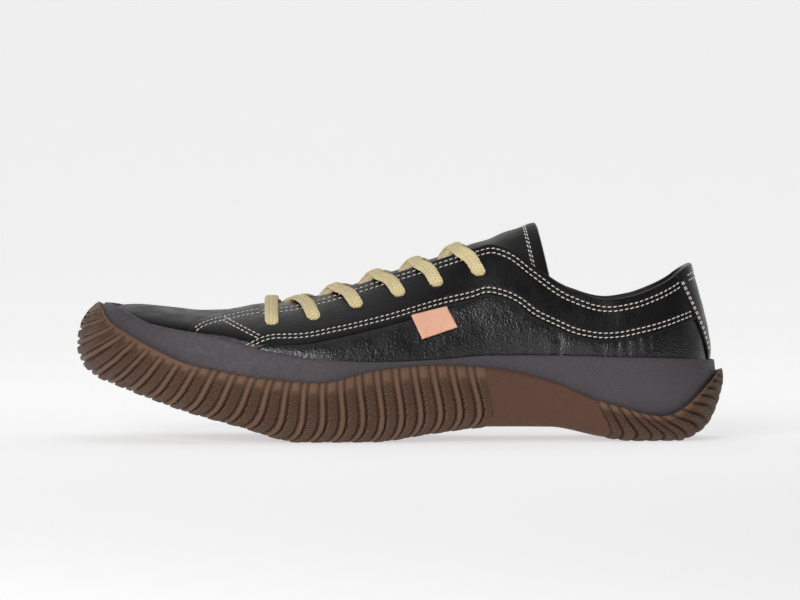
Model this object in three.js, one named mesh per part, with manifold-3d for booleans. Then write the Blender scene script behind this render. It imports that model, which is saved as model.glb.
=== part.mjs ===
import * as THREE from 'three';
import { mergeVertices } from 'three/addons/utils/BufferGeometryUtils.js';
import Module from 'manifold-3d';

const wasm = await Module();
wasm.setup();

// Driving dimensions, in millimetres
const shoeLength = 290;
const ballWidth = 105;
const toeHeight = 60;
const crownHeight = 86.6;
const tongueHeight = 97;
const toeSwing = 8;
const leatherWall = 1.5;
const overlayStep = 0.6;
const rimWidth = 2.2;
const rimDrop = 7;
const fitGap = 0.3;
const tuckIn = 4.5;
const ribDepth = 1.5;
const frontRibPitch = 8.8;
const heelRibPitch = 5.4;
const tongueThickness = 4;
const insoleThickness = 4;
const eyeletBore = 4;
const laceWidth = 4.4;
const laceThickness = 1.5;
const laceLift = 1.4;
const laceRide = 2.1;
const tagLength = 16;
const tagHeight = 10.5;
const tagThickness = 1.3;

// The tables run from the heel, at 0, round to the toe, at 1.
// Lengths along X are shares of shoeLength, with the toe at minus X.
// Heights are shares of toeHeight in the sole and of crownHeight in the upper.
// Widths are shares of ballWidth, measured from the shoe's own bent middle line.

// Outsole: keel is its middle line underneath, edge its top edge, flat the level share
const outsoleColumns = ['at', 'keelX', 'keelZ', 'edgeX', 'edgeZ', 'outer', 'inner', 'flat'];
const outsoleRows = [
  [0, 0.4986, 0.517, 0.498, 0.523, 0, 0, 0],
  [0.01, 0.5, 0.45, 0.4925, 0.507, 0.095, 0.095, 0],
  [0.03, 0.496, 0.35, 0.477, 0.437, 0.19, 0.188, 0.08],
  [0.06, 0.486, 0.213, 0.4586, 0.347, 0.246, 0.242, 0.22],
  [0.09, 0.4707, 0.1, 0.438, 0.26, 0.282, 0.277, 0.42],
  [0.13, 0.441, 0.015, 0.407, 0.192, 0.314, 0.306, 0.6],
  [0.15, 0.4276, 0, 0.391, 0.193, 0.326, 0.313, 0.66],
  [0.18, 0.395, 0, 0.369, 0.213, 0.334, 0.318, 0.7],
  [0.21, 0.3586, 0, 0.343, 0.25, 0.343, 0.318, 0.72],
  [0.26, 0.31, 0.025, 0.3035, 0.305, 0.35, 0.313, 0.72],
  [0.34, 0.2276, 0.1, 0.231, 0.45, 0.366, 0.297, 0.72],
  [0.43, 0.138, 0.103, 0.145, 0.545, 0.396, 0.297, 0.72],
  [0.52, 0.048, 0.057, 0.0586, 0.568, 0.442, 0.326, 0.72],
  [0.61, -0.045, 0, -0.0276, 0.54, 0.491, 0.383, 0.72],
  [0.7, -0.152, 0, -0.1207, 0.447, 0.526, 0.438, 0.72],
  [0.78, -0.248, 0.117, -0.2, 0.473, 0.53, 0.46, 0.72],
  [0.85, -0.324, 0.217, -0.2724, 0.533, 0.516, 0.456, 0.7],
  [0.9, -0.376, 0.3, -0.324, 0.587, 0.495, 0.438, 0.6],
  [0.94, -0.431, 0.395, -0.369, 0.68, 0.461, 0.413, 0.45],
  [0.965, -0.4724, 0.475, -0.4, 0.757, 0.413, 0.381, 0.28],
  [0.98, -0.496, 0.6, -0.4207, 0.813, 0.373, 0.345, 0.14],
  [0.99, -0.501, 0.717, -0.438, 0.86, 0.32, 0.293, 0.05],
  [0.996, -0.496, 0.85, -0.4517, 0.923, 0.244, 0.22, 0],
  [0.9985, -0.4845, 0.947, -0.46, 0.987, 0.143, 0.135, 0],
  [1, -0.471, 1.01, -0.469, 1.02, 0, 0, 0],
];

// Midsole: the same columns, where edge is the line that the upper rises from
const midsoleRows = [
  [0, 0.4876, 0.517, 0.486, 0.587, 0, 0, 0],
  [0.01, 0.489, 0.45, 0.482, 0.588, 0.091, 0.091, 0],
  [0.03, 0.4855, 0.367, 0.4685, 0.597, 0.175, 0.173, 0.08],
  [0.06, 0.476, 0.25, 0.4495, 0.607, 0.227, 0.223, 0.22],
  [0.09, 0.4607, 0.163, 0.4276, 0.61, 0.261, 0.256, 0.42],
  [0.13, 0.4328, 0.1, 0.395, 0.617, 0.29, 0.282, 0.6],
  [0.18, 0.39, 0.083, 0.357, 0.62, 0.307, 0.294, 0.7],
  [0.26, 0.307, 0.11, 0.295, 0.63, 0.324, 0.289, 0.78],
  [0.34, 0.2276, 0.183, 0.2276, 0.638, 0.339, 0.273, 0.74],
  [0.43, 0.138, 0.188, 0.1414, 0.64, 0.368, 0.273, 0.72],
  [0.52, 0.048, 0.14, 0.057, 0.612, 0.413, 0.302, 0.72],
  [0.61, -0.045, 0.085, -0.0276, 0.597, 0.463, 0.358, 0.72],
  [0.7, -0.152, 0.083, -0.1207, 0.617, 0.499, 0.413, 0.72],
  [0.78, -0.2466, 0.197, -0.2, 0.677, 0.503, 0.435, 0.72],
  [0.85, -0.317, 0.29, -0.269, 0.767, 0.486, 0.43, 0.68],
  [0.9, -0.364, 0.363, -0.3155, 0.812, 0.461, 0.411, 0.6],
  [0.94, -0.4138, 0.447, -0.355, 0.842, 0.425, 0.384, 0.45],
  [0.965, -0.4517, 0.527, -0.3845, 0.873, 0.381, 0.35, 0.28],
  [0.98, -0.478, 0.617, -0.405, 0.913, 0.343, 0.315, 0.14],
  [0.99, -0.4876, 0.717, -0.4234, 0.957, 0.286, 0.262, 0.05],
  [0.996, -0.4834, 0.84, -0.4386, 0.987, 0.215, 0.196, 0],
  [0.9985, -0.4724, 0.933, -0.449, 1, 0.124, 0.118, 0],
  [1, -0.4607, 0.993, -0.458, 1.01, 0, 0, 0],
];

// Upper: top is its collar, its throat edge, then the ridge over the toes.
// gap is half the opening's width there, and bed is the height of its lower edge.
const upperColumns = ['at', 'topX', 'topZ', 'gap', 'rise', 'bulge', 'over', 'drop', 'dip', 'bed'];
const upperRows = [
  [0, 0.4448, 0.897, 0, 0.33, 0.003, 0.034, 0.33, 0.017, 0.45],
  [0.01, 0.4428, 0.891, 0.062, 0.33, 0.003, 0.032, 0.33, 0.017, 0.45],
  [0.03, 0.4324, 0.868, 0.13, 0.33, 0.003, 0.026, 0.33, 0.017, 0.447],
  [0.06, 0.4124, 0.82, 0.185, 0.34, 0.004, 0.02, 0.32, 0.017, 0.443],
  [0.09, 0.3876, 0.777, 0.217, 0.34, 0.006, 0.016, 0.3, 0.017, 0.44],
  [0.13, 0.3538, 0.737, 0.24, 0.35, 0.007, 0.014, 0.3, 0.017, 0.435],
  [0.18, 0.319, 0.72, 0.253, 0.35, 0.008, 0.015, 0.3, 0.017, 0.435],
  [0.26, 0.2638, 0.766, 0.255, 0.35, 0.009, 0.024, 0.3, 0.017, 0.438],
  [0.34, 0.207, 0.883, 0.244, 0.35, 0.01, 0.04, 0.28, 0.017, 0.44],
  [0.4, 0.167, 0.977, 0.223, 0.35, 0.01, 0.064, 0.25, 0.017, 0.435],
  [0.43, 0.1414, 1, 0.204, 0.35, 0.01, 0.08, 0.22, 0.017, 0.425],
  [0.46, 0.1155, 0.979, 0.185, 0.36, 0.01, 0.094, 0.19, 0.017, 0.415],
  [0.52, 0.0586, 0.917, 0.154, 0.37, 0.01, 0.116, 0.15, 0.017, 0.393],
  [0.61, -0.0276, 0.826, 0.124, 0.4, 0.01, 0.152, 0.12, 0.017, 0.357],
  [0.7, -0.117, 0.733, 0.097, 0.42, 0.01, 0.19, 0.1, 0.017, 0.333],
  [0.76, -0.1724, 0.692, 0.074, 0.44, 0.01, 0.22, 0.07, 0.017, 0.34],
  [0.785, -0.1966, 0.687, 0.048, 0.45, 0.01, 0.235, 0.04, 0.017, 0.345],
  [0.8, -0.211, 0.686, 0, 0.46, 0.01, 0.24, 0, 0.018, 0.352],
  [0.85, -0.255, 0.67, 0, 0.5, 0.01, 0.25, 0, 0.02, 0.392],
  [0.9, -0.3035, 0.664, 0, 0.5, 0.01, 0.25, 0, 0.033, 0.45],
  [0.94, -0.345, 0.677, 0, 0.52, 0.008, 0.225, 0, 0.067, 0.508],
  [0.965, -0.3724, 0.686, 0, 0.54, 0.006, 0.2, 0, 0.09, 0.55],
  [0.98, -0.391, 0.692, 0, 0.55, 0.004, 0.17, 0, 0.11, 0.583],
  [0.99, -0.407, 0.695, 0, 0.55, 0.003, 0.13, 0, 0.135, 0.6],
  [0.996, -0.417, 0.694, 0, 0.55, 0.002, 0.09, 0, 0.15, 0.615],
  [1, -0.4276, 0.6905, 0, 0.55, 0, 0.035, 0, 0.167, 0.633],
];
const throatEnd = 0.8;

// Lower edge of the eyestay and collar panel, seen from the side
const panelColumns = ['at', 'height'];
const panelRows = [
  [-0.23, 0.46],
  [-0.19, 0.503],
  [-0.156, 0.505],
  [-0.094, 0.539],
  [-0.016, 0.6],
  [0.067, 0.68],
  [0.113, 0.716],
  [0.135, 0.738],
  [0.155, 0.725],
  [0.175, 0.695],
  [0.2, 0.632],
  [0.229, 0.584],
  [0.274, 0.524],
  [0.313, 0.506],
  [0.332, 0.509],
  [0.367, 0.53],
  [0.401, 0.558],
  [0.451, 0.618],
];

// Eyelets, from the toe up: each side's hole, seen from the side
const eyeletRows = [
  [-0.1955, 0.603],
  [-0.1307, 0.629],
  [-0.0655, 0.69],
  [-0.0007, 0.75],
  [0.0572, 0.8025],
  [0.1221, 0.859],
];

// Tongue: its middle line above the throat, at stations of the upper
const tongueColumns = ['at', 'midX', 'midZ', 'reach', 'brink'];
const tongueRows = [
  [0.31, 0.2103, 1, 0.86, 1],
  [0.33, 0.2, 0.993, 0.84, 1],
  [0.36, 0.1828, 0.975, 0.82, 1],
  [0.4, 0.1586, 0.95, 0.8, 1],
  [0.43, 0.1379, 0.924, 0.8, 1],
  [0.46, 0.112, 0.9, 0.8, 1],
  [0.52, 0.0586, 0.84, 0.8, 1],
  [0.61, -0.0276, 0.758, 0.82, 1],
  [0.7, -0.117, 0.668, 0.84, 1],
  [0.745, -0.162, 0.626, 0.85, 1],
  [0.78, -0.192, 0.594, 0.85, 0.97],
  [0.81, -0.222, 0.585, 0.85, 0.95],
  [0.84, -0.246, 0.575, 0.85, 0.95],
];

// A monotone cubic through one column of a table
function slopesOf(xs, ys) {
  const steps = xs.slice(1).map((x, i) => (ys[i + 1] - ys[i]) / (x - xs[i]));
  const slopes = xs.map((x, i) => {
    if (i === 0) return steps[0];
    if (i === xs.length - 1) return steps[i - 1];
    if (steps[i - 1] * steps[i] <= 0) return 0;
    const left = xs[i] - xs[i - 1];
    const right = xs[i + 1] - xs[i];
    const a = 2 * right + left;
    const b = right + 2 * left;
    return (a + b) / (a / steps[i - 1] + b / steps[i]);
  });
  return slopes;
}

function makeReader(columns, rows) {
  const xs = rows.map((row) => row[0]);
  const rising = xs[xs.length - 1] > xs[0];
  const ordered = rising ? rows : [...rows].reverse();
  const places = ordered.map((row) => row[0]);
  const curves = {};
  columns.forEach((name, k) => {
    const values = ordered.map((row) => row[k]);
    curves[name] = { values, slopes: slopesOf(places, values) };
  });
  return (name, at) => {
    const place = Math.min(Math.max(at, places[0]), places[places.length - 1]);
    let i = places.findIndex((x) => x > place) - 1;
    if (i < 0) i = places.length - 2;
    const width = places[i + 1] - places[i];
    const t = (place - places[i]) / width;
    const { values, slopes } = curves[name];
    const keep = (1 + 2 * t) * (1 - t) ** 2;
    const leave = t * (1 - t) ** 2 * width;
    const reach = t * t * (3 - 2 * t);
    const arrive = t * t * (t - 1) * width;
    return keep * values[i] + leave * slopes[i] + reach * values[i + 1] + arrive * slopes[i + 1];
  };
}

const outsole = makeReader(outsoleColumns, outsoleRows);
const midsole = makeReader(outsoleColumns, midsoleRows);
const upper = makeReader(upperColumns, upperRows);
const panel = makeReader(panelColumns, panelRows);
const tongue = makeReader(tongueColumns, tongueRows);

const mix = (a, b, t) => a + (b - a) * t;
const smooth = (t) => t * t * (3 - 2 * t);
const clamp = (t) => Math.min(Math.max(t, 0), 1);

const turnOf = (at, side) => (side < 0 ? at : 2 - at);

// The last swings towards the inner side in front of the waist
function middleLine(x) {
  const forward = Math.max(0, -2 * x / shoeLength);
  return toeSwing * forward * forward;
}

// Round the shoe: 0 heel, 1 toe by the outer side, 2 heel again by the inner side
function stationOf(turn) {
  const wrapped = ((turn % 2) + 2) % 2;
  return wrapped <= 1 ? { at: wrapped, side: -1 } : { at: 2 - wrapped, side: 1 };
}

// Outer skin of a sole layer, from its keel at 0 up to its top edge at 1
const squarePower = 0.8;
const flatRun = 0.34;
const fullFlat = 0.72;
function soleSkin(table, skirt, turn, up) {
  const { at, side } = stationOf(turn);
  const flat = table('flat', at);
  const halfWidth = ballWidth * table(side < 0 ? 'outer' : 'inner', at);
  const power = mix(1, squarePower, clamp(flat / fullFlat));
  let across = flat * up / flatRun;
  let rise = 0;
  if (up > flatRun) {
    const angle = (up - flatRun) / (1 - flatRun) * Math.PI / 2;
    across = flat + (1 - flat) * Math.sin(angle) ** power;
    rise = 1 - Math.max(0, Math.cos(angle)) ** power;
  }
  const x = shoeLength * mix(table('keelX', at), table('edgeX', at), rise);
  const z = toeHeight * mix(table('keelZ', at), table('edgeZ', at), rise);
  const y = side * halfWidth * across * (1 + skirt * (1 - rise));
  return new THREE.Vector3(x, y + middleLine(x), z);
}
const outsoleSkin = (turn, up) => soleSkin(outsole, 0, turn, up);
const midsoleSkirt = 0.05;
const midsoleSkin = (turn, up) => soleSkin(midsole, midsoleSkirt, turn, up);

// Outward direction, level with the floor, along the midsole's top edge
const plainStep = 0.002;
function levelOut(turn) {
  const ahead = midsoleSkin(turn + plainStep, 1);
  const behind = midsoleSkin(turn - plainStep, 1);
  const along = ahead.sub(behind);
  return new THREE.Vector3(-along.y, along.x, 0).normalize();
}

// Outer skin of the upper without its overlays, from its lower edge at 0 up to its top at 1
const widestAt = 0.2;
function upperSkin(turn, up) {
  const { at, side } = stationOf(turn);
  const out = levelOut(turn);
  const inset = rimWidth + fitGap + overlayStep;
  const widest = midsoleSkin(turn, 1).addScaledVector(out, -inset);
  widest.z -= toeHeight * upper('dip', at);
  if (up <= widestAt) {
    const angle = up / widestAt * Math.PI / 2;
    const low = toeHeight * upper('bed', at);
    const z = mix(low, widest.z, 1 - Math.cos(angle));
    return widest.addScaledVector(out, -tuckIn * (1 - Math.sin(angle))).setZ(z);
  }
  const topX = shoeLength * upper('topX', at);
  const topY = middleLine(topX) + side * ballWidth * upper('gap', at);
  const top = new THREE.Vector3(topX, topY, crownHeight * upper('topZ', at));
  const height = top.z - widest.z;
  const lower = widest.clone().addScaledVector(out, ballWidth * upper('bulge', at));
  lower.z += height * upper('rise', at);
  const higher = top.clone().addScaledVector(out, ballWidth * upper('over', at));
  higher.z -= height * upper('drop', at);
  const t = (up - widestAt) / (1 - widestAt);
  return new THREE.CubicBezierCurve3(widest, lower, higher, top).getPoint(t);
}

const skinStep = 0.0015;
function oneNormal(skin, turn, up) {
  const along = skin(turn + skinStep, up).sub(skin(turn - skinStep, up));
  const high = skin(turn, Math.min(1, up + skinStep));
  const across = high.sub(skin(turn, Math.max(0, up - skinStep)));
  return across.cross(along).normalize();
}

function offsetFrom(skin, turn, up, distance, onSeam) {
  const normal = oneNormal(skin, turn, up);
  if (onSeam) {
    const other = oneNormal(skin, 2 - turn, up);
    normal.add(other).normalize();
  }
  return skin(turn, up).addScaledVector(normal, distance);
}

const soleSeam = (turn, up) => up === 0 || turn === 0 || turn === 1;
const upperSeam = (turn, up) => {
  const { at } = stationOf(turn);
  return turn === 0 || turn === 1 || (up === 1 && at >= throatEnd - 1e-9);
};
const midsoleAt = (turn, up, distance) => offsetFrom(midsoleSkin, turn, up, distance, soleSeam(turn, up));
const upperAt = (turn, up, distance) => offsetFrom(upperSkin, turn, up, distance, upperSeam(turn, up));

// Closed meshes are gathered from rings of points
class Shell {
  constructor() {
    this.positions = [];
  }

  triangle(a, b, c) {
    this.positions.push(...a.toArray(), ...b.toArray(), ...c.toArray());
  }

  quad(a, b, c, d) {
    this.triangle(a, b, c);
    this.triangle(a, c, d);
  }

  // A band between two rings, with its outside on the right of the first ring
  band(low, high, from = 0, to = low.length) {
    for (let i = from; i < to; i += 1) {
      const j = (i + 1) % low.length;
      this.quad(low[j], low[i], high[i], high[j]);
    }
  }

  // A ring is closed by level strips between its outer and inner halves
  lid(ring, facesUp) {
    const half = ring.length / 2;
    for (let i = 0; i < half; i += 1) {
      const a = ring[i];
      const b = ring[i + 1];
      const c = ring[(ring.length - i - 1) % ring.length];
      const d = ring[(ring.length - i) % ring.length];
      if (facesUp) this.quad(b, a, d, c);
      else this.quad(a, b, c, d);
    }
  }

  geometry() {
    const loose = new THREE.BufferGeometry();
    loose.setAttribute('position', new THREE.Float32BufferAttribute(this.positions, 3));
    return tidyGeometry(loose);
  }
}

const mergeSize = 1e-4;
function tidyGeometry(loose) {
  const merged = mergeVertices(loose, mergeSize);
  const corners = merged.index.array;
  const kept = [];
  for (let i = 0; i < corners.length; i += 3) {
    const [a, b, c] = [corners[i], corners[i + 1], corners[i + 2]];
    if (a !== b && b !== c && a !== c) kept.push(a, b, c);
  }
  merged.setIndex(kept);
  return merged;
}

function toSolid(geometry) {
  const vertProperties = new Float32Array(geometry.attributes.position.array);
  const triVerts = new Uint32Array(geometry.index.array);
  return new wasm.Manifold(new wasm.Mesh({ numProp: 3, vertProperties, triVerts }));
}

function toGeometry(solid) {
  const mesh = solid.getMesh();
  const geometry = new THREE.BufferGeometry();
  geometry.setAttribute('position', new THREE.BufferAttribute(mesh.vertProperties, 3));
  geometry.setIndex(new THREE.BufferAttribute(mesh.triVerts, 1));
  return geometry;
}

// Both halves of a ring from stations that run from the heel to the toe
function bothSides(stations) {
  const back = stations.slice(1, -1).reverse().map((at) => 2 - at);
  return [...stations, ...back];
}

// Stations spread evenly along a skin, so that the ends get their share
const traceSteps = 600;
function evenStations(skin, up, from, to, count) {
  const places = [];
  const lengths = [0];
  for (let i = 0; i <= traceSteps; i += 1) places.push(mix(from, to, i / traceSteps));
  for (let i = 1; i <= traceSteps; i += 1) {
    const step = skin(places[i], up).distanceTo(skin(places[i - 1], up));
    lengths.push(lengths[i - 1] + step);
  }
  const total = lengths[traceSteps];
  const stations = [];
  let i = 0;
  for (let k = 0; k <= count; k += 1) {
    const wanted = total * k / count;
    while (i < traceSteps - 1 && lengths[i + 1] < wanted) i += 1;
    const part = (wanted - lengths[i]) / (lengths[i + 1] - lengths[i]);
    stations.push(mix(places[i], places[i + 1], clamp(part)));
  }
  stations[0] = from;
  stations[count] = to;
  return { stations, total };
}

// Outsole: ribs run from edge to edge under the shoe and bow towards the heel half way up
const archFrom = 0.262;
const archTo = 0.447;
const ribTrace = 0.8;
const ribBow = 0.018;
const outsoleUps = [0, 0.34, 0.53, 0.75, 1];
const frontRib = [[0, 0], [0.36, 0], [0.5, 1], [0.64, 0.4], [0.88, 0.75]];
const heelRib = [[0, 1], [0.28, 0], [0.72, 0]];

function ribStations(from, to, pitch, profile) {
  const { total } = evenStations(outsoleSkin, ribTrace, from, to, 1);
  const count = Math.max(2, Math.round(total / pitch));
  const { stations } = evenStations(outsoleSkin, ribTrace, from, to, count);
  const ribs = [];
  for (let i = 0; i < count; i += 1) {
    for (const [part, depth] of profile) {
      ribs.push({ at: mix(stations[i], stations[i + 1], part), depth: depth * ribDepth });
    }
  }
  return ribs;
}

function outsoleColumnsOf() {
  const heel = ribStations(0.002, archFrom, heelRibPitch, heelRib);
  const front = ribStations(archTo, 0.9985, frontRibPitch, frontRib);
  const arch = [0, 0.25, 0.5, 0.75, 1].map((t) => ({ at: mix(archFrom, archTo - 0.004, t), depth: 0.3 }));
  return [{ at: 0, depth: 0.4 }, ...heel, ...arch, ...front, { at: 1, depth: 0 }];
}

function bowed(at, up) {
  const wall = clamp((up - flatRun) / (1 - flatRun));
  const ends = clamp(at / 0.1) * clamp((1 - at) / 0.1);
  return at - ribBow * ends * Math.sin(Math.PI * wall);
}

function outsoleGeometry() {
  const columns = outsoleColumnsOf();
  const halves = bothSides(columns.map((column) => column.at));
  const depths = columns.map((column) => column.depth);
  const depthOf = (i) => depths[i < columns.length ? i : 2 * columns.length - 2 - i];
  const rings = outsoleUps.map((up) => halves.map((turn, i) => {
    const { at, side } = stationOf(turn);
    const place = side < 0 ? bowed(at, up) : 2 - bowed(at, up);
    const onEnd = turn === 0 || turn === 1;
    const depth = depthOf(i) * (up === 1 ? 0.6 : 1);
    const stays = onEnd || up === 0;
    return offsetFrom(outsoleSkin, onEnd ? turn : place, up, -depth, stays);
  }));
  const shell = new Shell();
  for (let j = 0; j < rings.length - 1; j += 1) shell.band(rings[j], rings[j + 1]);
  shell.lid(rings[rings.length - 1], true);
  return shell.geometry();
}

// Midsole: one cup whose rim stands round the upper
const midsoleUps = [0, 0.34, 0.58, 0.8, 1];
const midsoleCount = 28;
function midsoleRings(grow) {
  const { stations } = evenStations(midsoleSkin, 1, 0, 1, midsoleCount);
  const turns = bothSides(stations);
  return { turns, rings: midsoleUps.map((up) => turns.map((turn) => midsoleAt(turn, up, grow))) };
}

function midsoleBlank() {
  const { turns, rings } = midsoleRings(0);
  const shell = new Shell();
  for (let j = 0; j < rings.length - 1; j += 1) shell.band(rings[j], rings[j + 1]);
  const edge = rings[rings.length - 1];
  const inward = turns.map((turn, i) => edge[i].clone().addScaledVector(levelOut(turn), -rimWidth));
  const ledge = inward.map((point) => point.clone().setZ(point.z - rimDrop));
  shell.band(edge, inward);
  shell.band(inward, ledge);
  shell.lid(ledge, true);
  return shell.geometry();
}

// Space that the midsole takes in the outsole, carried on upwards
const clearRise = 12;
function midsoleSpace() {
  const { rings } = midsoleRings(fitGap);
  const shell = new Shell();
  for (let j = 0; j < rings.length - 1; j += 1) shell.band(rings[j], rings[j + 1]);
  const edge = rings[rings.length - 1];
  const above = edge.map((point) => point.clone().setZ(point.z + clearRise));
  shell.band(edge, above);
  shell.lid(above, true);
  return shell.geometry();
}

// Upper: stations lean back along the vamp's seam, and follow the backstay's edges
const seamStation = 0.855;
const seamLean = 0.055;
const seamReach = 0.15;
const backstayWidth = [0.009, 0.037];
const edgeRun = 0.004;
function leaned(station, up) {
  const part = clamp((up - widestAt) / (1 - widestAt));
  const near = clamp(1 - Math.abs(station - seamStation) / seamReach);
  return station + seamLean * smooth(near) * (1 - 2 * part);
}

function upperStations() {
  const toe = evenStations(midsoleSkin, 1, seamStation + edgeRun, 1, 10).stations;
  const sides = evenStations(midsoleSkin, 1, 0.06, seamStation, 20).stations;
  const marks = [{ back: 0 }, { back: 0.4 }, { back: 1 }, { back: 1, past: edgeRun }];
  const list = marks.map((mark) => ({ mark }));
  return [...list, ...sides.map((station) => ({ station })), ...toe.map((station) => ({ station }))];
}

function atOf(column, up) {
  if (column.mark) {
    const part = clamp((up - widestAt) / (1 - widestAt));
    const width = mix(backstayWidth[0], backstayWidth[1], part);
    return width * column.mark.back + (column.mark.past ?? 0);
  }
  if (column.station === 1) return 1;
  return leaned(column.station, up);
}

// Height share at which the panel's lower edge crosses a station
function panelUp(column, side) {
  const placeOf = (up) => {
    const at = atOf(column, up);
    return upperSkin(side < 0 ? at : 2 - at, up);
  };
  const above = (up) => {
    const point = placeOf(up);
    return point.z - crownHeight * panel('height', point.x / shoeLength);
  };
  if (column.station > 0.79 || above(clampedEdge) > 0) return clampedEdge;
  let low = clampedEdge;
  let high = 0.97;
  for (let i = 0; i < 30; i += 1) {
    const middle = (low + high) / 2;
    if (above(middle) > 0) high = middle;
    else low = middle;
  }
  return low;
}

const panelEdgeRun = 0.012;
const lowUps = [0, widestAt * 0.5, widestAt];
const underPanel = [0.34, 0.67];
const overPanel = [0.33, 0.67, 1];
const plainUps = [...lowUps, 0.4, 0.65, 0.85, 1];
const clampedEdge = widestAt + 0.1;
function upperColumnsOf() {
  const half = upperStations();
  const outer = half.map((column) => ({ column, side: -1 }));
  const inner = half.slice(1, -1).reverse().map((column) => ({ column, side: 1 }));
  const openTo = half.findIndex((column) => column.station === seamStation);
  return { columns: [...outer, ...inner], openTo };
}

function ringsOf(table) {
  return table[0].map((unused, j) => table.map((points) => points[j]));
}

// The smooth skin at a distance, with no overlays
function plainRings(distance) {
  const { columns } = upperColumnsOf();
  return ringsOf(columns.map(({ column, side }) => plainUps.map((up) => {
    const turn = turnOf(atOf(column, up), side);
    return upperAt(turn, up, distance);
  })));
}

// The outer skin, with the quarter, the panel and the backstay as steps
function steppedRings() {
  const { columns, openTo } = upperColumnsOf();
  const table = columns.map(({ column, side }) => {
    const edge = panelUp(column, side);
    const ups = [...lowUps, ...underPanel.map((part) => mix(widestAt, edge, part)), edge];
    const overFrom = ups.length;
    ups.push(...[0, ...overPanel].map((part) => mix(edge + panelEdgeRun, 1, part)));
    const backstay = column.mark !== undefined && column.mark.past === undefined;
    const quarter = column.mark !== undefined || column.station <= seamStation;
    return ups.map((up, j) => {
      const turn = turnOf(atOf(column, up), side);
      const onPanel = quarter && j >= overFrom;
      const steps = (quarter ? 1 : 0) + (onPanel ? 1 : 0) + (backstay && up > widestAt ? 1 : 0);
      return upperAt(turn, up, steps * overlayStep);
    });
  });
  return { rings: ringsOf(table), openTo };
}

function upperGeometry() {
  const { rings, openTo } = steppedRings();
  const inside = plainRings(-leatherWall);
  const shell = new Shell();
  for (let j = 0; j < rings.length - 1; j += 1) shell.band(rings[j], rings[j + 1]);
  for (let j = 0; j < inside.length - 1; j += 1) shell.band(inside[j + 1], inside[j]);
  shell.band(inside[0], rings[0]);
  const top = rings[rings.length - 1];
  const topInside = inside[inside.length - 1];
  shell.band(top, topInside, 0, openTo);
  shell.band(top, topInside, top.length - openTo, top.length);
  return shell.geometry();
}

// Space that the upper takes in the midsole
function upperSpace() {
  const rings = plainRings(fitGap + overlayStep);
  const shell = new Shell();
  const low = rings[0].map((point) => point.clone().setZ(point.z - fitGap));
  shell.band(low, rings[0]);
  for (let j = 0; j < rings.length - 1; j += 1) shell.band(rings[j], rings[j + 1]);
  shell.lid(low, false);
  shell.lid(rings[rings.length - 1], true);
  return shell.geometry();
}

// Station and height of the point of the upper that is seen at x and z from the side
function findOnUpper(x, z, side) {
  let best = { at: 0, up: 0.6, miss: Infinity };
  const missOf = (at, up) => {
    const point = upperSkin(side < 0 ? at : 2 - at, up);
    return Math.hypot(point.x - x, point.z - z);
  };
  for (let at = 0.02; at < 0.9; at += 0.02) {
    for (let up = widestAt; up <= 1; up += 0.05) {
      const miss = missOf(at, up);
      if (miss < best.miss) best = { at, up, miss };
    }
  }
  for (let reach = 0.02; reach > 1e-5; reach *= 0.6) {
    for (const [a, b] of [[1, 0], [-1, 0], [0, 1], [0, -1], [1, 1], [-1, -1], [1, -1], [-1, 1]]) {
      const at = best.at + a * reach;
      const up = Math.min(1, best.up + b * reach);
      const miss = missOf(at, up);
      if (miss < best.miss) best = { at, up, miss };
    }
  }
  return best;
}

// A straight bar of a round section between two points
function roundBar(from, to, radius, sides) {
  const axis = to.clone().sub(from);
  const geometry = new THREE.CylinderGeometry(radius, radius, axis.length(), sides);
  geometry.deleteAttribute('normal');
  geometry.deleteAttribute('uv');
  const turn = new THREE.Quaternion().setFromUnitVectors(new THREE.Vector3(0, 1, 0), axis.normalize());
  geometry.applyQuaternion(turn);
  geometry.translate(...from.clone().add(to).multiplyScalar(0.5).toArray());
  return tidyGeometry(geometry);
}

const eyelets = eyeletRows.map(([x, z]) => {
  const found = findOnUpper(shoeLength * x, crownHeight * z, -1);
  return { at: found.at, up: found.up };
});

const holeReach = 6;
const holeSides = 8;
function withEyelets(solid) {
  let cut = solid;
  for (const { at, up } of eyelets) {
    for (const side of [-1, 1]) {
      const turn = turnOf(at, side);
      const outside = upperAt(turn, up, holeReach);
      const inside = upperAt(turn, up, -holeReach);
      cut = cut.subtract(toSolid(roundBar(outside, inside, eyeletBore / 2, holeSides)));
    }
  }
  return cut;
}

// Tongue: it lies inside the upper at its sides and arches across the throat
const tongueGap = 1.1;
const tongueParts = [0, 0.5, 1];
function tongueSection(at) {
  const edges = {};
  for (const side of [-1, 1]) {
    const reach = tongue('reach', at);
    edges[side] = tongueParts.map((part) => {
      const up = mix(reach, tongue('brink', at), part);
      return upperAt(turnOf(at, side), up, -leatherWall - tongueGap);
    });
  }
  const middleX = shoeLength * tongue('midX', at);
  const middle = new THREE.Vector3(middleX, middleLine(middleX), tongueHeight * tongue('midZ', at));
  const shoulders = {};
  for (const side of [-1, 1]) {
    const edge = edges[side][tongueParts.length - 1];
    const shoulder = edge.clone().lerp(middle, 0.45);
    shoulder.z += (middle.z - edge.z) * 0.3;
    shoulders[side] = shoulder;
  }
  return [...edges[-1], shoulders[-1], middle, shoulders[1], ...[...edges[1]].reverse()];
}

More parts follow.
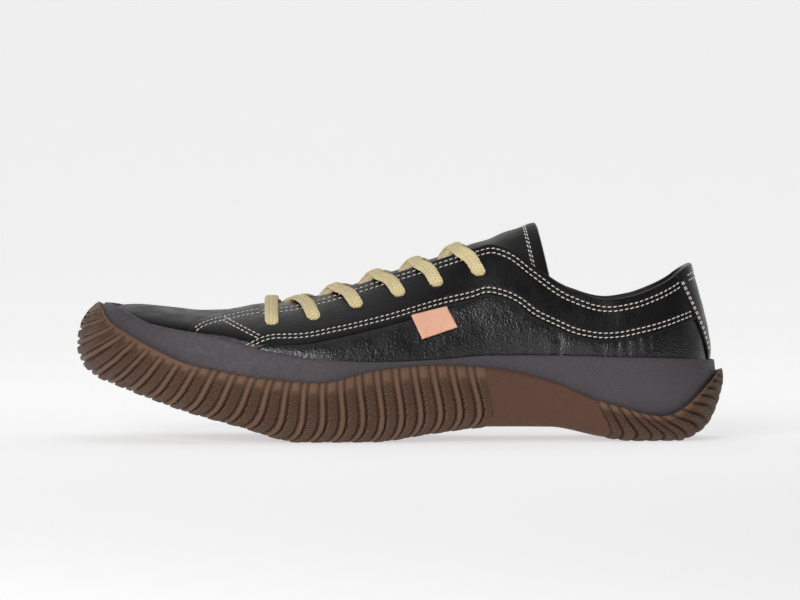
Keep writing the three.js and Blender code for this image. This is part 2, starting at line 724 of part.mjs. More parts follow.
const tongueSteps = 13;
function tongueGeometry() {
  const from = tongueRows[0][0];
  const to = tongueRows[tongueRows.length - 1][0];
  const sections = [];
  for (let i = 0; i <= tongueSteps; i += 1) sections.push(tongueSection(mix(from, to, i / tongueSteps)));
  const across = sections[0].length;
  const normalAt = (i, j) => {
    const ahead = sections[Math.min(i + 1, tongueSteps)][j];
    const behind = sections[Math.max(i - 1, 0)][j];
    const left = sections[i][Math.max(j - 1, 0)];
    const right = sections[i][Math.min(j + 1, across - 1)];
    const along = ahead.clone().sub(behind);
    return along.cross(right.clone().sub(left)).normalize();
  };
  const under = sections.map((section, i) => section.map((point, j) => (
    point.clone().addScaledVector(normalAt(i, j), tongueThickness)
  )));
  const shell = new Shell();
  for (let i = 0; i < tongueSteps; i += 1) {
    for (let j = 0; j < across - 1; j += 1) {
      shell.quad(sections[i][j], sections[i][j + 1], sections[i + 1][j + 1], sections[i + 1][j]);
      shell.quad(under[i][j + 1], under[i][j], under[i + 1][j], under[i + 1][j + 1]);
    }
    const last = across - 1;
    shell.quad(under[i][0], sections[i][0], sections[i + 1][0], under[i + 1][0]);
    shell.quad(sections[i][last], under[i][last], under[i + 1][last], sections[i + 1][last]);
  }
  for (let j = 0; j < across - 1; j += 1) {
    const end = tongueSteps;
    shell.quad(sections[0][j + 1], sections[0][j], under[0][j], under[0][j + 1]);
    shell.quad(sections[end][j], sections[end][j + 1], under[end][j + 1], under[end][j]);
  }
  return shell.geometry();
}

// Insole: a footbed that follows the upper's lower edge
const insoleCount = 22;
function insoleGeometry() {
  const { stations } = evenStations(midsoleSkin, 1, 0, 1, insoleCount);
  const turns = bothSides(stations);
  const floorRing = turns.map((turn) => upperAt(turn, 0, 0).addScaledVector(levelOut(turn), -leatherWall - 2 * fitGap));
  const topRing = floorRing.map((point) => point.clone().setZ(point.z + insoleThickness));
  const shell = new Shell();
  shell.lid(floorRing, false);
  shell.band(floorRing, topRing);
  shell.lid(topRing, true);
  return shell.geometry();
}

// A flat strip along a path, with its face turned along the given upward directions
function stripGeometry(path, ups, width, thickness) {
  const section = [[-0.5, 0.5], [0.5, 0.5], [0.5, -0.5], [-0.5, -0.5]];
  const rings = path.map((point, i) => {
    const ahead = path[Math.min(i + 1, path.length - 1)];
    const behind = path[Math.max(i - 1, 0)];
    const along = ahead.clone().sub(behind).normalize();
    const right = along.clone().cross(ups[i]).normalize();
    const above = right.clone().cross(along);
    return section.map(([a, b]) => point.clone()
      .addScaledVector(right, a * width)
      .addScaledVector(above, b * thickness));
  });
  const shell = new Shell();
  for (let i = 0; i < rings.length - 1; i += 1) shell.band(rings[i + 1], rings[i]);
  for (let k = 1; k < section.length - 1; k += 1) {
    const last = rings[rings.length - 1];
    shell.triangle(rings[0][0], rings[0][k + 1], rings[0][k]);
    shell.triangle(last[0], last[k], last[k + 1]);
  }
  return shell.geometry();
}

const laceSamples = 9;
const upright = new THREE.Vector3(0, 0, 1);
const sheetLift = overlayStep * 2 + laceLift;

// Points of a lace from its eyelet over the panel to the throat's edge
function overPanelTo(eyelet, side) {
  const turn = turnOf(eyelet.at, side);
  const ups = [eyelet.up, mix(eyelet.up, 1, 0.5), 1];
  return ups.map((up) => upperAt(turn, up, sheetLift));
}

function throatMiddle(at) {
  const x = shoeLength * tongue('midX', at);
  return new THREE.Vector3(x, middleLine(x), tongueHeight * tongue('midZ', at) + laceRide);
}

function laceStrip(points) {
  const curve = new THREE.CatmullRomCurve3(points);
  const path = curve.getPoints(laceSamples);
  const ups = path.map((point) => {
    const tilt = (point.y - middleLine(point.x)) / ballWidth;
    return upright.clone().add(new THREE.Vector3(-0.25, 2.2 * tilt, 0)).normalize();
  });
  return toSolid(stripGeometry(path, ups, laceWidth, laceThickness));
}

function laceBar() {
  const outerHalf = overPanelTo(eyelets[0], -1);
  const innerHalf = overPanelTo(eyelets[0], 1).reverse();
  const middle = outerHalf[outerHalf.length - 1].clone().lerp(innerHalf[0], 0.5);
  middle.z += laceLift;
  return laceStrip([...outerHalf, middle, ...innerHalf]);
}

const crossShare = 0.7;
const farShare = 0.56;
const dipShare = 0.5;
function laceCross(index) {
  const low = eyelets[index].at;
  const high = eyelets[index + 1].at;
  const farAt = mix(low, high, farShare);
  const strips = [-1, 1].map((side) => {
    const middle = throatMiddle(mix(low, high, crossShare));
    const far = throatMiddle(farAt);
    const edge = upperAt(turnOf(farAt, -side), 1, 0);
    far.lerp(edge, dipShare);
    return laceStrip([...overPanelTo(eyelets[index + 1], side), middle, far]);
  });
  return strips[0].add(strips[1]);
}

// Side tag: a leather tab that hangs from the panel's edge on the outer side
const tagPlace = [0.0163, 0.632];
const tagSlant = 0.24;
function tagGeometry() {
  const steps = [0, 0.5, 1];
  const x = shoeLength * tagPlace[0];
  const z = crownHeight * tagPlace[1];
  const places = steps.map((down) => steps.map((along) => {
    const across = along * tagLength + down * tagHeight * 0.4;
    const height = z - down * tagHeight + along * tagLength * tagSlant;
    return findOnUpper(x + across, height, -1);
  }));
  const faceAt = (lift) => places.map((row) => row.map(({ at, up }) => upperAt(at, up, lift)));
  const low = faceAt(overlayStep + fitGap);
  const high = faceAt(overlayStep + fitGap + tagThickness);
  const shell = new Shell();
  const last = steps.length - 1;
  for (let i = 0; i < last; i += 1) {
    for (let j = 0; j < last; j += 1) {
      shell.quad(high[i][j], high[i + 1][j], high[i + 1][j + 1], high[i][j + 1]);
      shell.quad(low[i][j], low[i][j + 1], low[i + 1][j + 1], low[i + 1][j]);
    }
    shell.quad(high[0][i], high[0][i + 1], low[0][i + 1], low[0][i]);
    shell.quad(high[last][i + 1], high[last][i], low[last][i], low[last][i + 1]);
    shell.quad(high[i + 1][0], high[i][0], low[i][0], low[i + 1][0]);
    shell.quad(high[i][last], high[i + 1][last], low[i + 1][last], low[i][last]);
  }
  return shell.geometry();
}

const blackLeather = new THREE.MeshStandardMaterial({ color: 0x232426, roughness: 0.45, metalness: 0 });
const greyFoam = new THREE.MeshStandardMaterial({ color: 0x585258, roughness: 0.7, metalness: 0 });
const brownRubber = new THREE.MeshStandardMaterial({ color: 0x6e584a, roughness: 0.65, metalness: 0 });
const paleLace = new THREE.MeshStandardMaterial({ color: 0xf0d796, roughness: 0.9, metalness: 0 });
const pinkLeather = new THREE.MeshStandardMaterial({ color: 0xf0b49b, roughness: 0.6, metalness: 0 });
const liningCloth = new THREE.MeshStandardMaterial({ color: 0x2a2a2c, roughness: 0.9, metalness: 0 });

const shoe = new THREE.Group();
function addPiece(name, geometry, material) {
  const piece = new THREE.Mesh(geometry, material);
  piece.name = name;
  shoe.add(piece);
}

const midsoleSolid = toSolid(midsoleBlank()).subtract(toSolid(upperSpace()));
const outsoleSolid = toSolid(outsoleGeometry()).subtract(toSolid(midsoleSpace()));
addPiece('outsole', toGeometry(outsoleSolid), brownRubber);
addPiece('midsole', toGeometry(midsoleSolid), greyFoam);
addPiece('upper', toGeometry(withEyelets(toSolid(upperGeometry()))), blackLeather);
addPiece('insole', insoleGeometry(), liningCloth);
addPiece('tongue', tongueGeometry(), blackLeather);
addPiece('lace_bar', toGeometry(laceBar()), paleLace);
for (let index = 0; index < eyelets.length - 1; index += 1) {
  addPiece(`lace_cross_${index + 1}`, toGeometry(laceCross(index)), paleLace);
}
addPiece('side_tag', tagGeometry(), pinkLeather);

// The origin is under the middle of the shoe's box, on the floor
const bounds = new THREE.Box3().setFromObject(shoe);
const centre = bounds.getCenter(new THREE.Vector3());
shoe.position.set(-centre.x, -centre.y, -bounds.min.z);
shoe.updateMatrixWorld(true);

export default shoe;
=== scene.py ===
import bpy
import bmesh
import numpy as np
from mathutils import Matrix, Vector


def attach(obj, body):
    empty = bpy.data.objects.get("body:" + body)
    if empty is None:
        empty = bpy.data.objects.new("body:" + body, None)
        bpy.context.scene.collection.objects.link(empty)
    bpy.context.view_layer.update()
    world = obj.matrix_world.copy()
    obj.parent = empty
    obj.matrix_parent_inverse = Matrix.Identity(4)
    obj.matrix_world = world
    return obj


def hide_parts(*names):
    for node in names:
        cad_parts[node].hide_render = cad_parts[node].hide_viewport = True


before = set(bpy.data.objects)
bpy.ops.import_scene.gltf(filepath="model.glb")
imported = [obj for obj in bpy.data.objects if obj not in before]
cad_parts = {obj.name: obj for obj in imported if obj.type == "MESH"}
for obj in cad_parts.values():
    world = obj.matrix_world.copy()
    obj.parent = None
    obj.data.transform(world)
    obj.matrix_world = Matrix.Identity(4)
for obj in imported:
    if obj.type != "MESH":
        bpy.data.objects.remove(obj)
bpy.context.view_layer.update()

# Driving sizes of the shoe, in millimetres
SHOE_LENGTH = 290.0
BALL_WIDTH = 105.0
TOE_HEIGHT = 60.0
CROWN_HEIGHT = 86.6
TONGUE_HEIGHT = 97.0
TOE_SWING = 8.0
LEATHER_WALL = 1.5
OVERLAY_STEP = 0.6
RIM_WIDTH = 2.2
RIM_DROP = 7.0
FIT_GAP = 0.3
TUCK_IN = 4.5
RIB_DEPTH = 1.5
FRONT_RIB_PITCH = 8.8
HEEL_RIB_PITCH = 5.4
TONGUE_THICKNESS = 4.0
INSOLE_THICKNESS = 4.0
LACE_WIDTH = 6.0
LACE_THICKNESS = 2.0
TAG_LENGTH = 16.0
TAG_HEIGHT = 10.5
TAG_THICKNESS = 1.3

# One millimetre in the scene's metres
METRE = 0.001

# Tables run from the heel, at 0, round to the toe, at 1.
# Lengths are shares of SHOE_LENGTH, heights shares of TOE_HEIGHT in the sole and of
# CROWN_HEIGHT in the upper, and widths shares of BALL_WIDTH from the bent middle line.
SOLE_COLUMNS = ["at", "keel_x", "keel_z", "edge_x", "edge_z", "outer", "inner", "flat"]
OUTSOLE_ROWS = [
    [0, 0.4986, 0.517, 0.498, 0.523, 0, 0, 0],
    [0.01, 0.5, 0.45, 0.4925, 0.507, 0.095, 0.095, 0],
    [0.03, 0.496, 0.35, 0.477, 0.437, 0.19, 0.188, 0.08],
    [0.06, 0.486, 0.213, 0.4586, 0.347, 0.246, 0.242, 0.22],
    [0.09, 0.4707, 0.1, 0.438, 0.26, 0.282, 0.277, 0.42],
    [0.13, 0.441, 0.015, 0.407, 0.192, 0.314, 0.306, 0.6],
    [0.15, 0.4276, 0, 0.391, 0.193, 0.326, 0.313, 0.66],
    [0.18, 0.395, 0, 0.369, 0.213, 0.334, 0.318, 0.7],
    [0.21, 0.3586, 0, 0.343, 0.25, 0.343, 0.318, 0.72],
    [0.26, 0.31, 0.025, 0.3035, 0.305, 0.35, 0.313, 0.72],
    [0.34, 0.2276, 0.1, 0.231, 0.45, 0.366, 0.297, 0.72],
    [0.43, 0.138, 0.103, 0.145, 0.545, 0.396, 0.297, 0.72],
    [0.52, 0.048, 0.057, 0.0586, 0.568, 0.442, 0.326, 0.72],
    [0.61, -0.045, 0, -0.0276, 0.54, 0.491, 0.383, 0.72],
    [0.7, -0.152, 0, -0.1207, 0.447, 0.526, 0.438, 0.72],
    [0.78, -0.248, 0.117, -0.2, 0.473, 0.53, 0.46, 0.72],
    [0.85, -0.324, 0.217, -0.2724, 0.533, 0.516, 0.456, 0.7],
    [0.9, -0.376, 0.3, -0.324, 0.587, 0.495, 0.438, 0.6],
    [0.94, -0.431, 0.395, -0.369, 0.68, 0.461, 0.413, 0.45],
    [0.965, -0.4724, 0.475, -0.4, 0.757, 0.413, 0.381, 0.28],
    [0.98, -0.496, 0.6, -0.4207, 0.813, 0.373, 0.345, 0.14],
    [0.99, -0.501, 0.717, -0.438, 0.86, 0.32, 0.293, 0.05],
    [0.996, -0.496, 0.85, -0.4517, 0.923, 0.244, 0.22, 0],
    [0.9985, -0.4845, 0.947, -0.46, 0.987, 0.143, 0.135, 0],
    [1, -0.471, 1.01, -0.469, 1.02, 0, 0, 0],
]
MIDSOLE_ROWS = [
    [0, 0.4876, 0.517, 0.486, 0.587, 0, 0, 0],
    [0.01, 0.489, 0.45, 0.482, 0.588, 0.091, 0.091, 0],
    [0.03, 0.4855, 0.367, 0.4685, 0.597, 0.175, 0.173, 0.08],
    [0.06, 0.476, 0.25, 0.4495, 0.607, 0.227, 0.223, 0.22],
    [0.09, 0.4607, 0.163, 0.4276, 0.61, 0.261, 0.256, 0.42],
    [0.13, 0.4328, 0.1, 0.395, 0.617, 0.29, 0.282, 0.6],
    [0.18, 0.39, 0.083, 0.357, 0.62, 0.307, 0.294, 0.7],
    [0.26, 0.307, 0.11, 0.295, 0.63, 0.324, 0.289, 0.78],
    [0.34, 0.2276, 0.183, 0.2276, 0.638, 0.339, 0.273, 0.74],
    [0.43, 0.138, 0.188, 0.1414, 0.64, 0.368, 0.273, 0.72],
    [0.52, 0.048, 0.14, 0.057, 0.612, 0.413, 0.302, 0.72],
    [0.61, -0.045, 0.085, -0.0276, 0.597, 0.463, 0.358, 0.72],
    [0.7, -0.152, 0.083, -0.1207, 0.617, 0.499, 0.413, 0.72],
    [0.78, -0.2466, 0.197, -0.2, 0.677, 0.503, 0.435, 0.72],
    [0.85, -0.317, 0.29, -0.269, 0.767, 0.486, 0.43, 0.68],
    [0.9, -0.364, 0.363, -0.3155, 0.812, 0.461, 0.411, 0.6],
    [0.94, -0.4138, 0.447, -0.355, 0.842, 0.425, 0.384, 0.45],
    [0.965, -0.4517, 0.527, -0.3845, 0.873, 0.381, 0.35, 0.28],
    [0.98, -0.478, 0.617, -0.405, 0.913, 0.343, 0.315, 0.14],
    [0.99, -0.4876, 0.717, -0.4234, 0.957, 0.286, 0.262, 0.05],
    [0.996, -0.4834, 0.84, -0.4386, 0.987, 0.215, 0.196, 0],
    [0.9985, -0.4724, 0.933, -0.449, 1, 0.124, 0.118, 0],
    [1, -0.4607, 0.993, -0.458, 1.01, 0, 0, 0],
]
UPPER_COLUMNS = ["at", "top_x", "top_z", "gap", "rise", "bulge", "over", "drop", "dip", "bed"]
UPPER_ROWS = [
    [0, 0.4448, 0.897, 0, 0.33, 0.003, 0.034, 0.33, 0.017, 0.45],
    [0.01, 0.4428, 0.891, 0.062, 0.33, 0.003, 0.032, 0.33, 0.017, 0.45],
    [0.03, 0.4324, 0.868, 0.13, 0.33, 0.003, 0.026, 0.33, 0.017, 0.447],
    [0.06, 0.4124, 0.82, 0.185, 0.34, 0.004, 0.02, 0.32, 0.017, 0.443],
    [0.09, 0.3876, 0.777, 0.217, 0.34, 0.006, 0.016, 0.3, 0.017, 0.44],
    [0.13, 0.3538, 0.737, 0.24, 0.35, 0.007, 0.014, 0.3, 0.017, 0.435],
    [0.18, 0.319, 0.72, 0.253, 0.35, 0.008, 0.015, 0.3, 0.017, 0.435],
    [0.26, 0.2638, 0.766, 0.255, 0.35, 0.009, 0.024, 0.3, 0.017, 0.438],
    [0.34, 0.207, 0.883, 0.244, 0.35, 0.01, 0.04, 0.28, 0.017, 0.44],
    [0.4, 0.167, 0.977, 0.223, 0.35, 0.01, 0.064, 0.25, 0.017, 0.435],
    [0.43, 0.1414, 1, 0.204, 0.35, 0.01, 0.08, 0.22, 0.017, 0.425],
    [0.46, 0.1155, 0.979, 0.185, 0.36, 0.01, 0.094, 0.19, 0.017, 0.415],
    [0.52, 0.0586, 0.917, 0.154, 0.37, 0.01, 0.116, 0.15, 0.017, 0.393],
    [0.61, -0.0276, 0.826, 0.124, 0.4, 0.01, 0.152, 0.12, 0.017, 0.357],
    [0.7, -0.117, 0.733, 0.097, 0.42, 0.01, 0.19, 0.1, 0.017, 0.333],
    [0.76, -0.1724, 0.692, 0.074, 0.44, 0.01, 0.22, 0.07, 0.017, 0.34],
    [0.785, -0.1966, 0.687, 0.048, 0.45, 0.01, 0.235, 0.04, 0.017, 0.345],
    [0.8, -0.211, 0.686, 0, 0.46, 0.01, 0.24, 0, 0.018, 0.352],
    [0.85, -0.255, 0.67, 0, 0.5, 0.01, 0.25, 0, 0.02, 0.392],
    [0.9, -0.3035, 0.664, 0, 0.5, 0.01, 0.25, 0, 0.033, 0.45],
    [0.94, -0.345, 0.677, 0, 0.52, 0.008, 0.225, 0, 0.067, 0.508],
    [0.965, -0.3724, 0.686, 0, 0.54, 0.006, 0.2, 0, 0.09, 0.55],
    [0.98, -0.391, 0.692, 0, 0.55, 0.004, 0.17, 0, 0.11, 0.583],
    [0.99, -0.407, 0.695, 0, 0.55, 0.003, 0.13, 0, 0.135, 0.6],
    [0.996, -0.417, 0.694, 0, 0.55, 0.002, 0.09, 0, 0.15, 0.615],
    [1, -0.4276, 0.6905, 0, 0.55, 0, 0.035, 0, 0.167, 0.633],
]
THROAT_END = 0.8

# Lower edge of the eyestay and collar panel, seen from the side
PANEL_COLUMNS = ["x", "height"]
PANEL_ROWS = [
    [-0.23, 0.46], [-0.19, 0.503], [-0.156, 0.505], [-0.094, 0.539], [-0.016, 0.6],
    [0.067, 0.68], [0.113, 0.716], [0.135, 0.738], [0.155, 0.725], [0.175, 0.695],
    [0.2, 0.632], [0.229, 0.584], [0.274, 0.524], [0.313, 0.506], [0.332, 0.509],
    [0.367, 0.53], [0.401, 0.558], [0.451, 0.618],
]
EYELET_ROWS = [
    [-0.1955, 0.603], [-0.1307, 0.629], [-0.0655, 0.69],
    [-0.0007, 0.75], [0.0572, 0.8025], [0.1221, 0.859],
]
TONGUE_COLUMNS = ["at", "mid_x", "mid_z", "reach", "brink"]
TONGUE_ROWS = [
    [0.31, 0.2103, 1, 0.86, 1], [0.33, 0.2, 0.993, 0.84, 1], [0.36, 0.1828, 0.975, 0.82, 1],
    [0.4, 0.1586, 0.95, 0.8, 1], [0.43, 0.1379, 0.924, 0.8, 1], [0.46, 0.112, 0.9, 0.8, 1],
    [0.52, 0.0586, 0.84, 0.8, 1], [0.61, -0.0276, 0.758, 0.82, 1], [0.7, -0.117, 0.668, 0.84, 1],
    [0.745, -0.162, 0.626, 0.85, 1], [0.78, -0.192, 0.594, 0.85, 0.97],
    [0.81, -0.222, 0.585, 0.85, 0.95], [0.84, -0.246, 0.575, 0.85, 0.95],
]


# A monotone cubic through each column of a table
def slopes_of(xs, ys):
    steps = np.diff(ys) / np.diff(xs)
    slopes = np.zeros_like(ys)
    slopes[0], slopes[-1] = steps[0], steps[-1]
    for i in range(1, len(xs) - 1):
        if steps[i - 1] * steps[i] > 0:
            left, right = xs[i] - xs[i - 1], xs[i + 1] - xs[i]
            a, b = 2 * right + left, right + 2 * left
            slopes[i] = (a + b) / (a / steps[i - 1] + b / steps[i])
    return slopes


def make_reader(columns, rows):
    table = np.array(rows, float)
    xs = table[:, 0]
    curves = {name: (table[:, k], slopes_of(xs, table[:, k])) for k, name in enumerate(columns)}

    def read(name, at):
        values, slopes = curves[name]
        place = np.clip(at, xs[0], xs[-1])
        i = np.clip(np.searchsorted(xs, place, side="right") - 1, 0, len(xs) - 2)
        width = xs[i + 1] - xs[i]
        t = (place - xs[i]) / width
        keep = (1 + 2 * t) * (1 - t) ** 2 * values[i]
        leave = t * (1 - t) ** 2 * width * slopes[i]
        reach = t * t * (3 - 2 * t) * values[i + 1]
        arrive = t * t * (t - 1) * width * slopes[i + 1]
        return keep + leave + reach + arrive

    return read


outsole = make_reader(SOLE_COLUMNS, OUTSOLE_ROWS)
midsole = make_reader(SOLE_COLUMNS, MIDSOLE_ROWS)
upper = make_reader(UPPER_COLUMNS, UPPER_ROWS)
panel = make_reader(PANEL_COLUMNS, PANEL_ROWS)
tongue = make_reader(TONGUE_COLUMNS, TONGUE_ROWS)


def mix(a, b, t):
    return a + (b - a) * t


def clamp(t):
    return np.clip(t, 0.0, 1.0)


def smooth(t):
    t = clamp(t)
    return t * t * (3 - 2 * t)


# Share of the way from a start to 1
def share_past(value, start):
    return clamp((value - start) / (1 - start))


# A soft ridge along 0, as high as 1
def ridge(distance, width):
    return np.exp(-(distance / width) ** 2)


def stack(x, y, z):
    return np.stack(np.broadcast_arrays(x, y, z), axis=-1)


def unit(vectors):
    length = np.linalg.norm(vectors, axis=-1, keepdims=True)
    return vectors / np.maximum(length, 1e-9)


def lengths_along(points):
    steps = np.linalg.norm(np.diff(points, axis=0), axis=-1)
    return np.concatenate([[0], np.cumsum(steps)])


# Points of a line at the places asked for
def points_along(places, lengths, points):
    return np.stack([np.interp(places, lengths, column) for column in points.T], axis=-1)


# The last swings towards the inner side in front of the waist
def middle_line(x):
    forward = np.maximum(0.0, -2 * x / SHOE_LENGTH)
    return TOE_SWING * forward * forward


# Round the shoe: 0 heel, 1 toe by the outer side, 2 heel again by the inner side
def station_of(turn):
    wrapped = np.mod(turn, 2.0)
    return np.where(wrapped <= 1, wrapped, 2 - wrapped), np.where(wrapped <= 1, -1.0, 1.0)


FLAT_RUN = 0.34
FULL_FLAT = 0.72
SQUARE_POWER = 0.8


def sole_skin(table, skirt, turn, up):
    turn, up = np.broadcast_arrays(np.asarray(turn, float), np.asarray(up, float))
    at, side = station_of(turn)
    flat = table("flat", at)
    half = BALL_WIDTH * np.where(side < 0, table("outer", at), table("inner", at))
    power = mix(1.0, SQUARE_POWER, clamp(flat / FULL_FLAT))
    angle = share_past(up, FLAT_RUN) * np.pi / 2
    wall = flat + (1 - flat) * np.sin(angle) ** power
    across = np.where(up > FLAT_RUN, wall, flat * up / FLAT_RUN)
    rise = 1 - np.maximum(0.0, np.cos(angle)) ** power
    x = SHOE_LENGTH * mix(table("keel_x", at), table("edge_x", at), rise)
    z = TOE_HEIGHT * mix(table("keel_z", at), table("edge_z", at), rise)
    y = side * half * across * (1 + skirt * (1 - rise)) + middle_line(x)
    return stack(x, y, z)


MIDSOLE_SKIRT = 0.05


def outsole_skin(turn, up):
    return sole_skin(outsole, 0.0, turn, up)


def midsole_skin(turn, up):
    return sole_skin(midsole, MIDSOLE_SKIRT, turn, up)


PLAIN_STEP = 0.002


# Outward direction, level with the floor, along the midsole's top edge
def level_out(turn):
    turn = np.asarray(turn, float)
    along = midsole_skin(turn + PLAIN_STEP, 1.0) - midsole_skin(turn - PLAIN_STEP, 1.0)
    return unit(stack(-along[..., 1], along[..., 0], 0 * along[..., 0]))


WIDEST_AT = 0.2


# Outer skin of the upper without overlays, from its lower edge at 0 to its top at 1
def upper_skin(turn, up):
    turn, up = np.broadcast_arrays(np.asarray(turn, float), np.asarray(up, float))
    at, side = station_of(turn)
    out = level_out(turn)
    widest = midsole_skin(turn, 1.0) - out * (RIM_WIDTH + FIT_GAP + OVERLAY_STEP)
    widest[..., 2] -= TOE_HEIGHT * upper("dip", at)
    angle = clamp(up / WIDEST_AT) * np.pi / 2
    low = widest - out * (TUCK_IN * (1 - np.sin(angle)))[..., None]
    low[..., 2] = mix(TOE_HEIGHT * upper("bed", at), widest[..., 2], 1 - np.cos(angle))
    top_x = SHOE_LENGTH * upper("top_x", at)
    top_y = middle_line(top_x) + side * BALL_WIDTH * upper("gap", at)
    top = stack(top_x, top_y, CROWN_HEIGHT * upper("top_z", at))
    height = top[..., 2] - widest[..., 2]
    lower = widest + out * (BALL_WIDTH * upper("bulge", at))[..., None]
    lower[..., 2] += height * upper("rise", at)
    higher = top + out * (BALL_WIDTH * upper("over", at))[..., None]
    higher[..., 2] -= height * upper("drop", at)
    t = share_past(up, WIDEST_AT)[..., None]
    s = 1 - t
    wall = s ** 3 * widest + 3 * s * s * t * lower + 3 * s * t * t * higher + t ** 3 * top
    return np.where((up <= WIDEST_AT)[..., None], low, wall)


SKIN_STEP = 0.0015


def one_normal(skin, turn, up):
    along = skin(turn + SKIN_STEP, up) - skin(turn - SKIN_STEP, up)
    across = skin(turn, np.minimum(1.0, up + SKIN_STEP)) - skin(turn, np.maximum(0.0, up - SKIN_STEP))
    return unit(np.cross(across, along))


# Normals on the shoe's seams are shared by both sides
def normal_of(skin, turn, up, on_seam):
    turn, up = np.broadcast_arrays(np.asarray(turn, float), np.asarray(up, float))
    normal = one_normal(skin, turn, up)
    shared = unit(normal + one_normal(skin, 2 - turn, up))
    return np.where(on_seam(turn, up)[..., None], shared, normal)


SEAM_NEAR = 1e-6


def sole_seam(turn, up):
    at = station_of(turn)[0]
    return (up < SEAM_NEAR) | (at < SEAM_NEAR) | (at > 1 - SEAM_NEAR)


def upper_seam(turn, up):
    at = station_of(turn)[0]
    closed = (up > 1 - SEAM_NEAR) & (at >= THROAT_END - SEAM_NEAR)
    return closed | (at < SEAM_NEAR) | (at > 1 - SEAM_NEAR)


def upper_normal(turn, up):
    return normal_of(upper_skin, turn, up, upper_seam)


# Makes a reader of points that stand some millimetres off a skin
def over_skin(skin, on_seam):
    def place(turn, up, lift):
        normal = normal_of(skin, turn, up, on_seam)
        return skin(turn, up) + normal * np.asarray(lift, float)[..., None]

    return place


outsole_at = over_skin(outsole_skin, sole_seam)
midsole_at = over_skin(midsole_skin, sole_seam)
upper_at = over_skin(upper_skin, upper_seam)


# Stations spread by length along a skin
TRACE_STEPS = 1200


def even_stations(skin, up, start, end, count):
    places = np.linspace(start, end, TRACE_STEPS + 1)
    points = skin(places, np.full_like(places, up))
    lengths = lengths_along(points)
    return np.interp(np.linspace(0, lengths[-1], count + 1), lengths, places)


def turn_of(at, side):
    return at if side < 0 else 2 - at


TOE_REACH = 0.01


# The frame's origin is under the middle of the whole shoe, so the insole's toe gives the shift
def shift_from_frame():
    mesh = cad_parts["insole"].data
    places = np.array([vertex.co[:] for vertex in mesh.vertices]) / METRE
    toe = places[places[:, 0] < places[:, 0].min() + TOE_REACH]
    toe = toe[np.argmin(toe[:, 2])]
    raw = upper_skin(1.0, 0.0) - level_out(1.0) * (LEATHER_WALL + 2 * FIT_GAP)
    return toe - raw


SHIFT = shift_from_frame()


WELD = 2e-6


def weld(mesh):
    work = bmesh.new()
    work.from_mesh(mesh)
    bmesh.ops.remove_doubles(work, verts=work.verts, dist=WELD)
    work.to_mesh(mesh)
    work.free()


# Meshes from grids of points, with named values kept at their vertices
def make_object(name, points, faces, materials, face_slots=None, fields=None):
    mesh = bpy.data.meshes.new(name)
    mesh.from_pydata(((points + SHIFT) * METRE).tolist(), [], faces.tolist())
    for material in materials:
        mesh.materials.append(material)
    if face_slots is not None:
        mesh.polygons.foreach_set("material_index", np.asarray(face_slots, np.int32))
    for field, values in (fields or {}).items():
        layer = mesh.attributes.new(field, "FLOAT", "POINT")
        layer.data.foreach_set("value", np.asarray(values, np.float32).ravel())
    piece = bpy.data.objects.new(name, mesh)
    bpy.context.scene.collection.objects.link(piece)
    weld(mesh)
    mesh.polygons.foreach_set("use_smooth", np.ones(len(mesh.polygons), bool))
    return piece


# Faces of a grid whose rows go up and whose columns go round by the outer side
def grid_faces(rows, columns, closed_rows=False, closed_columns=False, start=0):
    row_count = rows if closed_rows else rows - 1
    column_count = columns if closed_columns else columns - 1
    j, i = np.meshgrid(np.arange(row_count), np.arange(column_count), indexing="ij")
    j2, i2 = (j + 1) % rows, (i + 1) % columns
    corners = [j * columns + i2, j * columns + i, j2 * columns + i, j2 * columns + i2]
    return np.stack(corners, axis=-1).reshape(-1, 4) + start


def grid_object(name, grid, materials, closed_rows=False, closed_columns=False, slots=None, fields=None):
    rows, columns = grid.shape[:2]
    faces = grid_faces(rows, columns, closed_rows, closed_columns)
    face_slots = None if slots is None else np.repeat(slots, len(faces) // len(slots))
    return make_object(name, grid.reshape(-1, 3), faces, materials, face_slots, fields)


def finish_piece(piece, slot, *nodes):
    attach(piece, "root")
    if nodes:
        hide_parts(*nodes)


